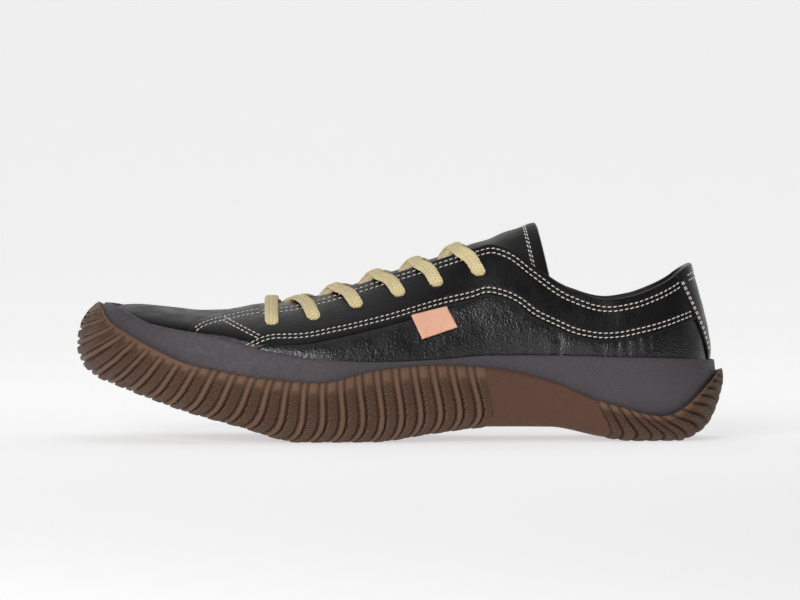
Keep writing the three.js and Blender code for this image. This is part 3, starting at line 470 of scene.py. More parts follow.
# Materials
class Paint:
    """A node material with short calls for the textures that the shoe's finishes share."""

    def __init__(self, name, colour, roughness, **values):
        self.material = bpy.data.materials.new(name)
        self.material.use_nodes = True
        self.nodes = self.material.node_tree.nodes
        self.links = self.material.node_tree.links
        self.shader = self.nodes["Principled BSDF"]
        values = {"Base_Color": (*colour, 1.0), "Roughness": roughness, **values}
        self.fill(self.shader, values)
        self.where = self.nodes.new("ShaderNodeTexCoord").outputs["Object"]
        self.bump = None

    def fill(self, node, values):
        for socket, value in values.items():
            node.inputs[socket.replace("_", " ")].default_value = value

    def add(self, kind, link, **values):
        node = self.nodes.new("ShaderNode" + kind)
        self.fill(node, values)
        self.links.new(link[1], node.inputs[link[0]])
        return node

    def stretched(self, scale):
        return self.add("Mapping", ("Vector", self.where), Scale=scale).outputs["Vector"]

    def noise(self, scale, detail=3.0, rough=0.5, where=None):
        link = ("Vector", where or self.where)
        return self.add("TexNoise", link, Scale=scale, Detail=detail, Roughness=rough).outputs["Fac"]

    def cells(self, scale, where=None, feature="F1"):
        node = self.add("TexVoronoi", ("Vector", where or self.where), Scale=scale)
        node.feature = feature
        return node.outputs["Distance"]

    def field(self, name):
        node = self.nodes.new("ShaderNodeAttribute")
        node.attribute_name = name
        return node.outputs["Fac"]

    def math(self, kind, a, b=0.0):
        node = self.nodes.new("ShaderNodeMath")
        node.operation = kind
        for socket, value in zip(node.inputs, (a, b)):
            if isinstance(value, (int, float)):
                socket.default_value = value
            else:
                self.links.new(value, socket)
        return node.outputs[0]

    def ramp(self, value, low, high, from_value=0.0, to_value=1.0):
        ends = {"From_Min": low, "From_Max": high, "To_Min": from_value, "To_Max": to_value}
        node = self.add("MapRange", ("Value", value), **ends)
        node.interpolation_type = "SMOOTHSTEP"
        return node.outputs["Result"]

    def blend(self, share, first, second):
        node = self.nodes.new("ShaderNodeMix")
        node.data_type = "RGBA"
        self.links.new(share, node.inputs["Factor"])
        for socket, value in ((node.inputs[6], first), (node.inputs[7], second)):
            if isinstance(value, tuple):
                socket.default_value = (*value, 1.0)
            else:
                self.links.new(value, socket)
        return node.outputs[2]

    def colour(self, value):
        self.links.new(value, self.shader.inputs["Base Color"])

    def roughness(self, value):
        self.links.new(value, self.shader.inputs["Roughness"])

    def relief(self, height, distance):
        node = self.add("Bump", ("Height", height), Distance=distance * METRE)
        if self.bump is not None:
            self.links.new(self.bump, node.inputs["Normal"])
        self.bump = node.outputs["Normal"]
        self.links.new(self.bump, self.shader.inputs["Normal"])


# Black leather, by the depths of its grain and long soft lines in millimetres, roughness and sheen
def black_leather(name, grain, wrinkle, gloss, shine):
    paint = Paint(name, (0.005, 0.0051, 0.0056), gloss, Coat_Weight=shine * 0.15, Coat_Roughness=0.22)
    paint.shader.inputs["Specular IOR Level"].default_value = shine
    cloud = paint.noise(38.0, 3.0, 0.55)
    paint.colour(paint.blend(cloud, (0.003, 0.0031, 0.0034), (0.006, 0.0062, 0.0067)))
    fine = paint.noise(900.0, 2.0, 0.6)
    patch = paint.noise(120.0, 2.0, 0.5)
    rough = paint.ramp(patch, 0.3, 0.7, gloss - 0.05, gloss + 0.06)
    paint.roughness(paint.math("ADD", rough, paint.math("MULTIPLY", fine, 0.06)))
    long_lines = paint.noise(1.0, 3.0, 0.6, paint.stretched((420.0, 420.0, 95.0)))
    paint.relief(long_lines, wrinkle)
    pebbles = paint.cells(1150.0, feature="SMOOTH_F1")
    paint.relief(pebbles, grain)
    paint.relief(paint.noise(2600.0, 2.0), grain * 0.35)
    return paint.material


def lining_cloth():
    paint = Paint("lining_cloth", (0.022, 0.021, 0.021), 0.85, Sheen_Weight=0.2)
    weave = paint.cells(1500.0, paint.stretched((1.0, 1.0, 0.6)))
    paint.relief(weave, 0.18)
    tint = paint.noise(60.0)
    paint.colour(paint.blend(tint, (0.017, 0.0165, 0.017), (0.032, 0.03, 0.03)))
    return paint.material


def grey_foam():
    paint = Paint("grey_foam", (0.075, 0.065, 0.075), 0.62, Specular_IOR_Level=0.35)
    speck = paint.noise(1900.0, 2.0, 0.7)
    cloud = paint.noise(24.0, 3.0, 0.5)
    base = paint.blend(cloud, (0.058, 0.049, 0.057), (0.078, 0.067, 0.076))
    paint.colour(paint.blend(paint.ramp(speck, 0.58, 0.75), base, (0.125, 0.11, 0.12)))
    paint.relief(paint.cells(950.0), 0.12)
    paint.relief(speck, 0.07)
    paint.roughness(paint.ramp(paint.noise(400.0), 0.3, 0.7, 0.52, 0.7))
    return paint.material


KNURL_PITCH = 1.25


def brown_rubber():
    paint = Paint("brown_rubber", (0.15, 0.094, 0.066), 0.55, Specular_IOR_Level=0.25)
    cloud = paint.noise(45.0, 3.0, 0.55)
    ribs = paint.blend(cloud, (0.122, 0.063, 0.038), (0.18, 0.1, 0.062))
    plain = paint.blend(cloud, (0.092, 0.043, 0.027), (0.11, 0.053, 0.034))
    base = paint.blend(paint.field("arch"), ribs, plain)
    # Painted shade: the grooves between the ribs are painted near black
    groove_shade = paint.math("MULTIPLY", paint.field("groove_shade"), 0.92)
    base = paint.blend(groove_shade, base, (0.018, 0.009, 0.006))
    # Pale random speckles on the rubber: partly dust, partly painted highlight
    dust_and_highlight = paint.ramp(paint.noise(1400.0, 2.0, 0.6), 0.6, 0.8, 0.0, 0.3)
    run = paint.math("MULTIPLY", paint.field("wall_run"), 2 * np.pi / KNURL_PITCH)
    teeth = paint.math("MULTIPLY", paint.math("SINE", run), paint.field("knurl"))
    # Painted shade: the knurling's low parts are painted dark, following the same teeth as its bumps
    notch_shade = paint.ramp(teeth, -0.2, -0.9, 0.0, 0.42)
    base = paint.blend(dust_and_highlight, base, (0.26, 0.19, 0.145))
    paint.colour(paint.blend(notch_shade, base, (0.03, 0.016, 0.011)))
    paint.relief(teeth, 0.5)
    paint.relief(paint.noise(1500.0, 3.0, 0.6), 0.09)
    paint.roughness(paint.ramp(paint.noise(300.0), 0.3, 0.7, 0.45, 0.68))
    return paint.material


BRAID_PITCH = 1.15
YARN_PITCH = 1.5


def woven_cotton():
    paint = Paint("woven_cotton", (0.85, 0.66, 0.31), 0.85, Sheen_Weight=0.25)
    along = paint.field("along")
    across = paint.field("across")
    slant = paint.math("ABSOLUTE", across)
    slanted = paint.math("MULTIPLY", paint.math("ADD", along, slant), 2 * np.pi / BRAID_PITCH)
    level = paint.math("MULTIPLY", across, 2 * np.pi / YARN_PITCH)
    braid = paint.math("MULTIPLY", paint.math("SINE", slanted), 0.6)
    braid = paint.math("ADD", braid, paint.math("MULTIPLY", paint.math("COSINE", level), 0.4))
    # Painted shade and highlight: the yarn is darker in the braid's low parts and paler on its raised
    # parts
    share = paint.ramp(braid, -1.0, 1.0)
    shaded_yarn = paint.blend(share, (0.92, 0.68, 0.28), (1.0, 0.9, 0.53))
    cloud = paint.noise(220.0, 2.0)
    paint.colour(paint.blend(paint.ramp(cloud, 0.4, 0.75, 0.0, 0.35), shaded_yarn, (0.95, 0.74, 0.5)))
    paint.relief(braid, 0.3)
    paint.relief(paint.noise(3200.0, 3.0), 0.1)
    return paint.material


def pale_thread():
    paint = Paint("pale_thread", (0.6, 0.52, 0.45), 0.6)
    twist = paint.noise(2400.0, 1.0)
    paint.colour(paint.blend(twist, (0.66, 0.57, 0.49), (0.9, 0.83, 0.75)))
    paint.relief(twist, 0.12)
    return paint.material


def pink_leather():
    paint = Paint("pink_leather", (0.86, 0.45, 0.31), 0.55)
    cloud = paint.noise(150.0, 4.0, 0.6)
    paint.colour(paint.blend(cloud, (0.82, 0.41, 0.27), (0.93, 0.54, 0.38)))
    paint.relief(paint.cells(1300.0, feature="SMOOTH_F1"), 0.07)
    paint.relief(paint.noise(350.0, 3.0), 0.1)
    return paint.material


VAMP_LEATHER = black_leather("vamp_leather", 0.05, 0.04, 0.36, 0.1)
QUARTER_LEATHER = black_leather("quarter_leather", 0.17, 0.2, 0.29, 0.7)
PANEL_LEATHER = black_leather("panel_leather", 0.11, 0.12, 0.36, 0.3)
TONGUE_LEATHER = black_leather("tongue_leather", 0.11, 0.2, 0.4, 0.3)
LINING = lining_cloth()
FOAM = grey_foam()
RUBBER = brown_rubber()
COTTON = woven_cotton()
THREAD = pale_thread()
TAG_LEATHER = pink_leather()


# Outsole: ribs run from edge to edge under the shoe and bow towards the heel half way up
ARCH_FROM = 0.262
ARCH_TO = 0.447
RIB_TRACE = 0.8
SHELL_DEPTH = 2.6
RIM_TURN = 0.9
ARCH_DEPTH = 0.34
LIP_AT = 0.972
BOW_ROWS = [
    [0, 0.0], [0.03, 0.008], [0.08, 0.016], [0.262, 0.016], [0.447, 0.02], [0.6, 0.019],
    [0.72, 0.016], [0.85, 0.01], [0.94, 0.004], [0.98, 0.001], [1, 0.0],
]
bow_table = make_reader(["at", "bow"], BOW_ROWS)
FRONT_PROFILE = [
    [0, 0.25], [0.03, 0], [0.4, 0], [0.43, 0.5], [0.46, 1.15], [0.54, 1.15], [0.58, 0.4], [0.61, 0.12],
    [0.8, 0.12], [0.84, 0.7], [0.87, 0.9], [0.93, 0.9], [0.97, 0.6], [1, 0.25],
]
HEEL_PROFILE = [
    [0, 1.2], [0.08, 1.2], [0.15, 0.4], [0.2, 0],
    [0.5, 0.04], [0.84, 0.4], [0.93, 0.9], [1, 1.2],
]
KNURL_PROFILE = [[0, 0], [0.06, 1], [0.36, 1], [0.4, 0], [1, 0]]
HEEL_KNURL_PROFILE = [[0, 0], [0.2, 0], [0.3, 1], [0.8, 1], [0.9, 0], [1, 0]]


def along_profile(share, profile):
    places, values = np.array(profile).T
    return np.interp(share, places, values)


# The station on the top edge that each point's rib starts from
def rib_start(at, wall):
    starts = np.linspace(0, 1.12, 900)
    bow = bow_table("bow", starts)
    found = np.empty_like(at)
    for j, height in enumerate(wall[:, 0]):
        places = starts - bow * np.sin(np.pi * height)
        found[j] = np.interp(at[j], np.maximum.accumulate(places), starts)
    return found


def rib_count_of(starts, start, end, pitch):
    places = np.linspace(start, end, 400)
    points = outsole_skin(places, RIB_TRACE)
    lengths = lengths_along(points)
    count = max(2, round(lengths[-1] / pitch))
    return np.interp(starts, places, lengths / lengths[-1] * count)


def rib_fields(turn, up):
    at = station_of(turn)[0]
    wall = share_past(up, FLAT_RUN)
    starts = rib_start(at, wall)
    front = rib_count_of(starts, ARCH_TO, 0.9985, FRONT_RIB_PITCH)
    heel = rib_count_of(starts, 0.002, ARCH_FROM, HEEL_RIB_PITCH)
    on_front = starts > ARCH_TO
    on_heel = starts < ARCH_FROM
    front_depth = along_profile(front % 1, FRONT_PROFILE)
    heel_depth = along_profile(heel % 1, HEEL_PROFILE)
    depth = np.where(on_front, front_depth, np.where(on_heel, heel_depth, ARCH_DEPTH))
    knurl = np.where(on_front, along_profile(front % 1, KNURL_PROFILE), 0.0)
    knurl = np.where(on_heel, along_profile(heel % 1, HEEL_KNURL_PROFILE), knurl)
    arch = np.where(on_front | on_heel, 0.0, 1.0)
    top_fade = 1 - 0.45 * smooth((up - 0.88) / 0.12)
    # Painted shade: the rubber is darkened in the grooves between the ribs, by their depth, and less near
    # the top edge
    groove_shade = smooth((depth - 0.3) / 0.55) * (1 - arch) * top_fade
    ends = smooth((0.1 - at) / 0.04) + smooth((at - 0.86) / 0.05)
    lip = smooth((up - LIP_AT) / 0.012) * ends
    depth = depth * (1 - lip) - 0.3 * lip
    groove_shade = groove_shade * (1 - lip)
    knurl = knurl * (1 - smooth((up - 0.93) / 0.05))
    return depth * RIB_DEPTH * top_fade, groove_shade, knurl, arch


OUTSOLE_COLUMNS = 620
OUTSOLE_UPS = np.concatenate([np.linspace(0, FLAT_RUN, 9)[:-1], np.linspace(FLAT_RUN, 1, 56)])


def ring_turns(skin, up, count):
    half = even_stations(skin, up, 0.0, 1.0, count)
    return np.concatenate([half, (2 - half)[::-1][1:-1]])


def run_lengths(grid):
    steps = np.linalg.norm(np.diff(grid, axis=0), axis=-1)
    return np.concatenate([np.zeros((1, grid.shape[1])), np.cumsum(steps, axis=0)])


def build_outsole():
    turns = ring_turns(outsole_skin, RIB_TRACE, OUTSOLE_COLUMNS)
    turn, up = np.meshgrid(turns, OUTSOLE_UPS)
    depth, groove_shade, knurl, arch = rib_fields(turn, up)
    outer = outsole_at(turn, up, -depth)
    run = run_lengths(outsole_skin(turn, up))
    rim = outsole_at(turn[-1:], up[-1:], -depth[-1:] - RIM_TURN)
    rim[..., 2] += 0.3
    inner_ups = np.array([1, 0.85, 0.7, 0.5, 0.34, 0.17, 0.0])
    inner_turn, inner_up = np.meshgrid(turns, inner_ups)
    inner = outsole_at(inner_turn, inner_up, -SHELL_DEPTH)
    grid = np.concatenate([outer, rim, inner])
    spare = np.zeros((1 + len(inner_ups), len(turns)))
    fields = {"groove_shade": groove_shade, "knurl": knurl, "arch": arch, "wall_run": run}
    fields = {name: np.concatenate([values, spare]) for name, values in fields.items()}
    piece = grid_object("ribbed_outsole", grid, [RUBBER], closed_columns=True, fields=fields)
    finish_piece(piece, "outsole_rubber", "outsole")


# Midsole: one cup of foam whose rim stands round the upper
MIDSOLE_COLUMNS = 300
MIDSOLE_UPS = np.concatenate([[0, 0.15, 0.3], np.linspace(0.4, 1, 40)])
JOIN_AT = 0.905
JOIN_DEPTH = 0.35
RIM_STEPS = [
    (0.12, 0.1), (0.5, 0.22), (1.2, 0.24), (RIM_WIDTH - 0.4, 0.12), (RIM_WIDTH, -0.3),
    (RIM_WIDTH, -RIM_DROP),
]


def closed_to_middle(ring, rows):
    middle_y = middle_line(ring[:, 0])
    shares = np.linspace(1, 0, rows + 1)[1:, None]
    level = np.repeat(ring[None], rows, axis=0)
    level[..., 1] = middle_y + (ring[:, 1] - middle_y) * shares
    return level


def build_midsole():
    turns = ring_turns(midsole_skin, 1.0, MIDSOLE_COLUMNS)
    turn, up = np.meshgrid(turns, MIDSOLE_UPS)
    at = station_of(turn)[0]
    join = ridge(at - JOIN_AT - 0.02 * (1 - up), 0.0016)
    wave = 0.12 * np.sin(at * 61) * np.sin(up * 5.3 + at * 17)
    outer = midsole_at(turn, up, wave * smooth((1 - up) / 0.1) - JOIN_DEPTH * join)
    edge = outer[-1]
    out = level_out(turns)
    rim = []
    for inset, height in RIM_STEPS:
        ring = edge - out * inset
        ring[:, 2] += height
        rim.append(ring)
    floor = closed_to_middle(rim[-1], 4)
    grid = np.concatenate([outer, np.array(rim), floor])
    piece = grid_object("foam_midsole", grid, [FOAM], closed_columns=True)
    finish_piece(piece, "midsole_foam", "midsole")


# Upper: columns lean back along the vamp's seam
SEAM_STATION = 0.855
SEAM_LEAN = 0.055
SEAM_REACH = 0.15
SEAM_CURVE = 2.0
QUARTER_LIFT = OVERLAY_STEP
PANEL_LIFT = 2 * OVERLAY_STEP
BACKSTAY_LIFT = 3 * OVERLAY_STEP
BACKSTAY_WIDTH = (0.011, 0.046)
ROW_GAP = 1.9


def leaned(station, up):
    part = share_past(up, WIDEST_AT)
    near = clamp(1 - np.abs(station - SEAM_STATION) / SEAM_REACH)
    return station + SEAM_LEAN * smooth(near) * (1 - 2 * part ** SEAM_CURVE)


# Signed stations run from the inner side's seam, past the heel at 0, to the outer side's
def turn_from(signed, up):
    at = leaned(np.abs(signed), up)
    return np.where(signed >= 0, at, 2 - at)


def height_over_panel(point):
    return point[..., 2] - CROWN_HEIGHT * panel("height", point[..., 0] / SHOE_LENGTH)


LOWEST_PANEL_UP = 0.12
HIGHEST_PANEL_UP = 0.97
PANEL_FRONT = 0.81
HALVINGS = 26


def panel_up(signed):
    low = np.full_like(signed, LOWEST_PANEL_UP)
    high = np.full_like(signed, HIGHEST_PANEL_UP)
    for _ in range(HALVINGS):
        half = (low + high) / 2
        over = height_over_panel(upper_skin(turn_from(signed, half), half)) > 0
        high = np.where(over, half, high)
        low = np.where(over, low, half)
    return np.where(np.abs(signed) > PANEL_FRONT, LOWEST_PANEL_UP, low)


# Distance seen from the side between points and a line of points
def side_distance(points, line):
    flat = points.reshape(-1, 3)[:, [0, 2]]
    start = line[:-1][:, [0, 2]]
    way = line[1:][:, [0, 2]] - start
    best = np.full(len(flat), 1e9)
    for a, w in zip(start, way):
        t = clamp(((flat - a) @ w) / max(w @ w, 1e-9))
        gap = flat - a - t[:, None] * w
        best = np.minimum(best, np.einsum("ij,ij->i", gap, gap))
    return np.sqrt(best).reshape(points.shape[:-1])


# Main creases: x and z of both ends, width and depth in millimetres
CREASES = [
    (69.5, 48.0, 70.5, 37.5, 1.3, 0.4),
    (66.0, 45.0, 66.5, 38.0, 2.2, -0.18),
    (95.0, 46.0, 96.5, 37.5, 1.0, 0.2),
    (99.5, 46.5, 101.5, 37.5, 1.0, 0.22),
    (104.0, 47.5, 106.5, 38.0, 1.1, 0.24),
    (109.0, 48.0, 111.0, 39.0, 1.1, 0.2),
    (114.0, 49.0, 115.0, 40.0, 1.3, 0.16),
    (86.0, 42.0, 92.0, 39.0, 1.4, 0.16),
    (30.0, 58.0, 38.0, 44.0, 3.5, 0.18),
    (2.0, 47.0, 10.0, 38.0, 3.0, 0.14),
    (-30.0, 46.0, -22.0, 38.5, 3.0, 0.14),
    (74.0, 60.0, 98.0, 56.0, 2.4, 0.2),
    (62.0, 66.0, 84.0, 58.5, 2.6, 0.14),
    (96.0, 60.5, 118.0, 64.0, 2.4, 0.16),
    (48.0, 74.0, 60.0, 64.0, 3.0, 0.2),
    (-72.0, 52.0, -64.0, 49.0, 1.8, 0.2),
    (-46.0, 54.0, -38.0, 51.0, 2.6, 0.12),
]


def crease_relief(points):
    relief = np.zeros(points.shape[:-1])
    x, z = points[..., 0], points[..., 2]
    for x0, z0, x1, z1, width, depth in CREASES:
        way = np.array([x1 - x0, z1 - z0])
        length = np.hypot(*way)
        t = ((x - x0) * way[0] + (z - z0) * way[1]) / length ** 2
        gap = ((x - x0) * way[1] - (z - z0) * way[0]) / length
        bend = 0.8 * np.sin(t * np.pi * 1.3)
        ends = smooth(t / 0.3 + 0.3) * smooth((1 - t) / 0.3 + 0.3)
        relief -= depth * ends * ridge(gap + bend, width)
    swell = np.sin(x * 0.16 + z * 0.11) * np.sin(x * 0.07 - z * 0.19 + 1.3)
    return relief + 0.1 * swell


# Station and height share of the points of the upper that are seen at x and z from the side
FIND_ATS = np.linspace(0.004, 0.93, 260)
FIND_UPS = np.linspace(WIDEST_AT * 0.5, 1.0, 110)
FIND_REACH = 0.006
FIND_SHRINK = 0.72
FIND_ROUNDS = 22
find_grids = {}


def find_on_upper(x, z, side):
    x = np.asarray(x, float)
    z = np.asarray(z, float)
    if side not in find_grids:
        at_grid, up_grid = np.meshgrid(FIND_ATS, FIND_UPS, indexing="ij")
        find_grids[side] = (at_grid, up_grid, upper_skin(turn_of(at_grid, side), up_grid))
    at_grid, up_grid, places = find_grids[side]
    px, pz = places[..., 0].ravel(), places[..., 2].ravel()
    nearest = np.array([np.argmin((px - a) ** 2 + (pz - b) ** 2) for a, b in zip(x, z)])
    at, up = at_grid.ravel()[nearest], up_grid.ravel()[nearest]
    reach = FIND_REACH

    def miss_of(a, u):
        point = upper_skin(turn_of(a, side), u)
        return np.hypot(point[..., 0] - x, point[..., 2] - z)

    best = miss_of(at, up)
    for _ in range(FIND_ROUNDS):
        for da, du in ((1, 0), (-1, 0), (0, 1), (0, -1), (1, 1), (-1, -1), (1, -1), (-1, 1)):
            new_at = np.clip(at + da * reach, 0.001, 0.95)
            new_up = np.clip(up + du * reach, 0.05, 1.0)
            miss = miss_of(new_at, new_up)
            closer = miss < best
            at, up = np.where(closer, new_at, at), np.where(closer, new_up, up)
            best = np.where(closer, miss, best)
        reach *= FIND_SHRINK
    return at, up


EYELET_RADIUS = 2.0
eyelet_ats, eyelet_ups = find_on_upper(
    [SHOE_LENGTH * row[0] for row in EYELET_ROWS], [CROWN_HEIGHT * row[1] for row in EYELET_ROWS], -1)
EYELET_COUNT = len(EYELET_ROWS)


def eyelet_relief(points):
    relief = np.zeros(points.shape[:-1])
    for at, up in zip(eyelet_ats, eyelet_ups):
        for side in (-1, 1):
            centre = upper_skin(turn_of(at, side), up)
            reach = np.linalg.norm(points - centre, axis=-1)
            relief -= 1.5 * smooth((EYELET_RADIUS + 0.5 - reach) / 0.8)
            relief += 0.1 * ridge(reach - EYELET_RADIUS - 0.9, 0.5)
    return relief


# Soft grooves that the stitches lie in
def channel(distance, rows, depth=0.16, width=0.5):
    return -depth * sum(ridge(distance - row, width) for row in rows)


EDGE_ROW_AT = 2.2
NARROW_GAP = 1.4
SEAM_ROWS = (2.0, 2.0 + NARROW_GAP)
TOP_ROW_PLACES = ([-62.0, -45.0, 30.0, 58.0, 86.0, 125.0], [2.3, 1.6, 1.5, 1.7, 2.9, 3.0])
line_stations = np.linspace(0.0, 0.8, 260)
panel_line_ups = panel_up(line_stations)
PANEL_LINE = upper_skin(turn_from(line_stations, panel_line_ups), panel_line_ups)
TOP_LINE = upper_skin(line_stations, 1.0)
seam_line_ups = np.linspace(0.15, 1.0, 60)
SEAM_LINE = upper_skin(leaned(SEAM_STATION, seam_line_ups), seam_line_ups)


# The two rows of a pair stand closer together at the front
def row_gap(x):
    return np.interp(x, (-50.0, 40.0), (NARROW_GAP, ROW_GAP))


def top_row(x):
    return np.interp(x, *TOP_ROW_PLACES)


def signed_stations(limit, count):
    half = even_stations(midsole_skin, 1.0, 0.0, limit, count)
    return np.concatenate([-half[::-1][:-1], half])


# In front of the throat the two sides meet in one line
def joined(row):
    other = row[::-1]
    near = np.linalg.norm(row - other, axis=-1, keepdims=True) < CENTRE_REACH
    return np.where(near, (row + other) / 2, row)


def sheet(name, turn, up, lift, leather, closed=False):
    outer = upper_at(turn, up, lift)
    edge = upper_at(turn[-1:], up[-1:], (lift[-1:] - LEATHER_WALL) / 2)
    inner = upper_at(turn, up, -LEATHER_WALL)[::-1]
    if closed:
        outer[-1] = joined(outer[-1])
        edge[0] = joined(edge[0])
        inner[0] = joined(inner[0])
    rows = len(up)
    grid = np.concatenate([outer, edge, inner])
    slots = [0] * (rows + 1) + [1] * (rows - 1) + [0]
    return grid_object(name, grid, [leather, LINING], closed_rows=True, slots=slots)


VAMP_UNDERLAP = 0.035
CENTRE_REACH = 1.5
SHEET_UPS = np.concatenate([[0.0, 0.07, 0.14], np.linspace(WIDEST_AT, 1.0, 62)])


def build_vamp():
    half = even_stations(midsole_skin, 1.0, SEAM_STATION - VAMP_UNDERLAP, 1.0, 130)
    station, up = np.meshgrid(half, SHEET_UPS)
    at = np.where(station >= 1.0, 1.0, np.minimum(leaned(station, up), 1.0))
    turn = np.concatenate([at, (2 - at)[:, ::-1][:, 1:]], axis=1)
    up = np.concatenate([up, up[:, ::-1][:, 1:]], axis=1)
    points = upper_skin(turn, up)
    lift = 0.45 * crease_relief(points)
    lift -= 0.25 * ridge(side_distance(points, SEAM_LINE), 0.7)
    piece = sheet("vamp", turn, up, lift, VAMP_LEATHER, closed=True)
    finish_piece(piece, "upper_leather", "upper")


def build_quarter():
    signed, up = np.meshgrid(signed_stations(SEAM_STATION - 0.004, 250), SHEET_UPS)
    turn = turn_from(signed, up)
    points = upper_skin(turn, up)
    under = ridge(side_distance(points, PANEL_LINE), 1.0)
    lift = QUARTER_LIFT + crease_relief(points) - 0.2 * under
    over_panel = smooth(height_over_panel(points) / 3.0)
    lift = mix(lift, QUARTER_LIFT - 0.15, over_panel)
    lift = np.maximum(lift, 0.1)
    piece = sheet("quarter", turn, up, lift, QUARTER_LEATHER)
    finish_piece(piece, "upper_leather", "upper")


RIM_ANGLES = np.linspace(0, np.pi, 8)[1:]
INSIDE_LIFT = -LEATHER_WALL - 0.12
BELOW_EDGE = 0.97
TURNED_TO = 0.8


# Rows that turn over the top edge and run down inside
def over_the_top(turns, top_lift, inside_to, inside_rows):
    ones = np.ones_like(turns)
    edge = upper_skin(turns, ones)
    normal = upper_normal(turns, ones)
    rising = unit(edge - upper_skin(turns, BELOW_EDGE))
    radius = (top_lift - INSIDE_LIFT) / 2
    centre = edge + normal * ((top_lift + INSIDE_LIFT) / 2)[:, None]
    rows = []
    for angle in RIM_ANGLES:
        way = normal * np.cos(angle) + rising * np.sin(angle) * 0.6
        rows.append(centre + way * radius[:, None])
    for up in np.linspace(1.0, inside_to, inside_rows + 1)[1:]:
        rows.append(upper_at(turns, up, INSIDE_LIFT))
    rows.append(upper_at(turns, inside_to, INSIDE_LIFT + 0.3))
    return np.array(rows)


FRONT_STEPS = [(0.0, -0.1), (0.0, 0.62), (0.0007, 0.88), (0.0018, 1.0)]


def build_panel():
    middle = signed_stations(SEAM_STATION - 0.0036, 310)
    ends = [(SEAM_STATION - inset, share) for inset, share in FRONT_STEPS]
    outer_end = [station for station, _ in ends]
    signed = np.concatenate([np.negative(outer_end), middle, outer_end[::-1]])
    faded = [share for _, share in ends]
    shares = np.concatenate([faded, np.ones(len(middle)), faded[::-1]])
    edge_up = panel_up(signed)
    fractions = np.concatenate([[0, 0, 0.006, 0.014], np.linspace(0.026, 1, 60)])
    edge_lift = np.concatenate([[0.35, 0.78, 0.94, 1.0], np.ones(60)])
    up = edge_up[None, :] + (1 - edge_up[None, :]) * fractions[:, None]
    turn = turn_from(np.broadcast_to(signed, up.shape), up)
    points = upper_skin(turn, up)
    from_edge = side_distance(points, PANEL_LINE)
    from_top = side_distance(points, TOP_LINE)
    row = top_row(points[..., 0])
    from_seam = side_distance(points, SEAM_LINE)
    lift = PANEL_LIFT + 0.55 * crease_relief(points) + eyelet_relief(points)
    gap = row_gap(points[..., 0])
    lift += channel(from_edge - EDGE_ROW_AT, (0.0, gap)) + channel(from_top - row, (0.0, gap))
    lift += channel(from_seam, SEAM_ROWS) * (points[..., 0] < -50)
    lift += 0.12 * ridge(from_edge - 0.9, 0.8)
    tucked = smooth((0.3 - up) / 0.1)
    lift = mix(lift, 0.85, tucked)
    lift = lift * edge_lift[:, None] * shares[None, :]
    outer = upper_at(turn, up, lift)
    rim = over_the_top(turn[-1], lift[-1], TURNED_TO, 7)
    grid = np.concatenate([outer, rim])
    slots = [0] * (len(up) - 1 + len(RIM_ANGLES)) + [1] * (len(rim) - len(RIM_ANGLES))
    piece = grid_object("eyestay_and_collar", grid, [PANEL_LEATHER, TONGUE_LEATHER], slots=slots)
    finish_piece(piece, "upper_leather", "upper")


# Millimetres of the upper that one station measures at the heel
STATION_RUN = 620.0
STAY_ROWS = (1.7, 1.7 + ROW_GAP)


# Half the backstay's width, in stations
def stay_width(up):
    return mix(BACKSTAY_WIDTH[0], BACKSTAY_WIDTH[1], share_past(up, WIDEST_AT))


def build_backstay():
    middle = np.linspace(-0.93, 0.93, 44)
    across = np.concatenate([[-1, -1, -0.97], middle, [0.97, 1, 1]])
    share = np.concatenate([[0.6, 0.8, 0.94], np.ones(len(middle)), [0.94, 0.8, 0.6]])
    ups = np.linspace(0.1, 1.0, 70)
    s, up = np.meshgrid(across, ups)
    width = stay_width(up)
    at = np.abs(s) * width
    turn = np.where(s >= 0, at, 2 - at)
    inset = (1 - np.abs(s)) * width * STATION_RUN
    tucked = smooth((0.3 - up) / 0.12)
    lift = BACKSTAY_LIFT + channel(inset, STAY_ROWS, 0.12) + 0.05 * np.sin(up * 40 + s * 2)
    lift = mix(lift, 1.0, tucked) * share[None, :]
    outer = upper_at(turn, up, lift)
    rim = over_the_top(turn[-1], lift[-1], TURNED_TO, 6)
    grid = np.concatenate([outer, rim])
    piece = grid_object("backstay", grid, [PANEL_LEATHER])
    finish_piece(piece, "upper_leather", "upper")


# Tongue: it lies inside the upper at its sides and arches across the throat
TONGUE_GAP = 1.1
TONGUE_ACROSS = 64
TONGUE_ALONG = 110
CONTROLS = 9
TONGUE_SKEW = 0.01

# How far its shoulders lie from the throat's edge to its middle line, in x, y and z
SHOULDER_SHARES = np.array([0.72, 0.45, 0.75])


def tongue_controls(at):
    side_at = at - TONGUE_SKEW * smooth((0.4 - at) / 0.09)
    sides = {}
    for side in (-1, 1):
        rows = []
        for part in (0.0, 0.5, 1.0):
            up = mix(tongue("reach", at), tongue("brink", at), part)
            rows.append(upper_at(turn_of(side_at, side), up, -LEATHER_WALL - TONGUE_GAP))
        sides[side] = rows
    mid_x = SHOE_LENGTH * tongue("mid_x", at)
    middle = stack(mid_x, middle_line(mid_x), TONGUE_HEIGHT * tongue("mid_z", at))
    shoulders = {side: mix(sides[side][-1], middle, SHOULDER_SHARES) for side in (-1, 1)}
    rows = [*sides[-1], shoulders[-1], middle, shoulders[1], *sides[1][::-1]]
    return np.stack(rows, axis=1)


def curve_through(controls, places):
    count = controls.shape[1]
    i = np.clip(np.floor(places).astype(int), 0, count - 2)
    t = (places - i)[None, :, None]
    before = controls[:, np.maximum(i - 1, 0)]
    start = controls[:, i]
    end = controls[:, i + 1]
    after = controls[:, np.minimum(i + 2, count - 1)]
    cubic = -before + 3 * start - 3 * end + after
    square = 2 * before - 5 * start + 4 * end - after
    return 0.5 * (2 * start + (end - before) * t + square * t * t + cubic * t ** 3)


TONGUE_ROW_ATS = (0.342, 0.351)


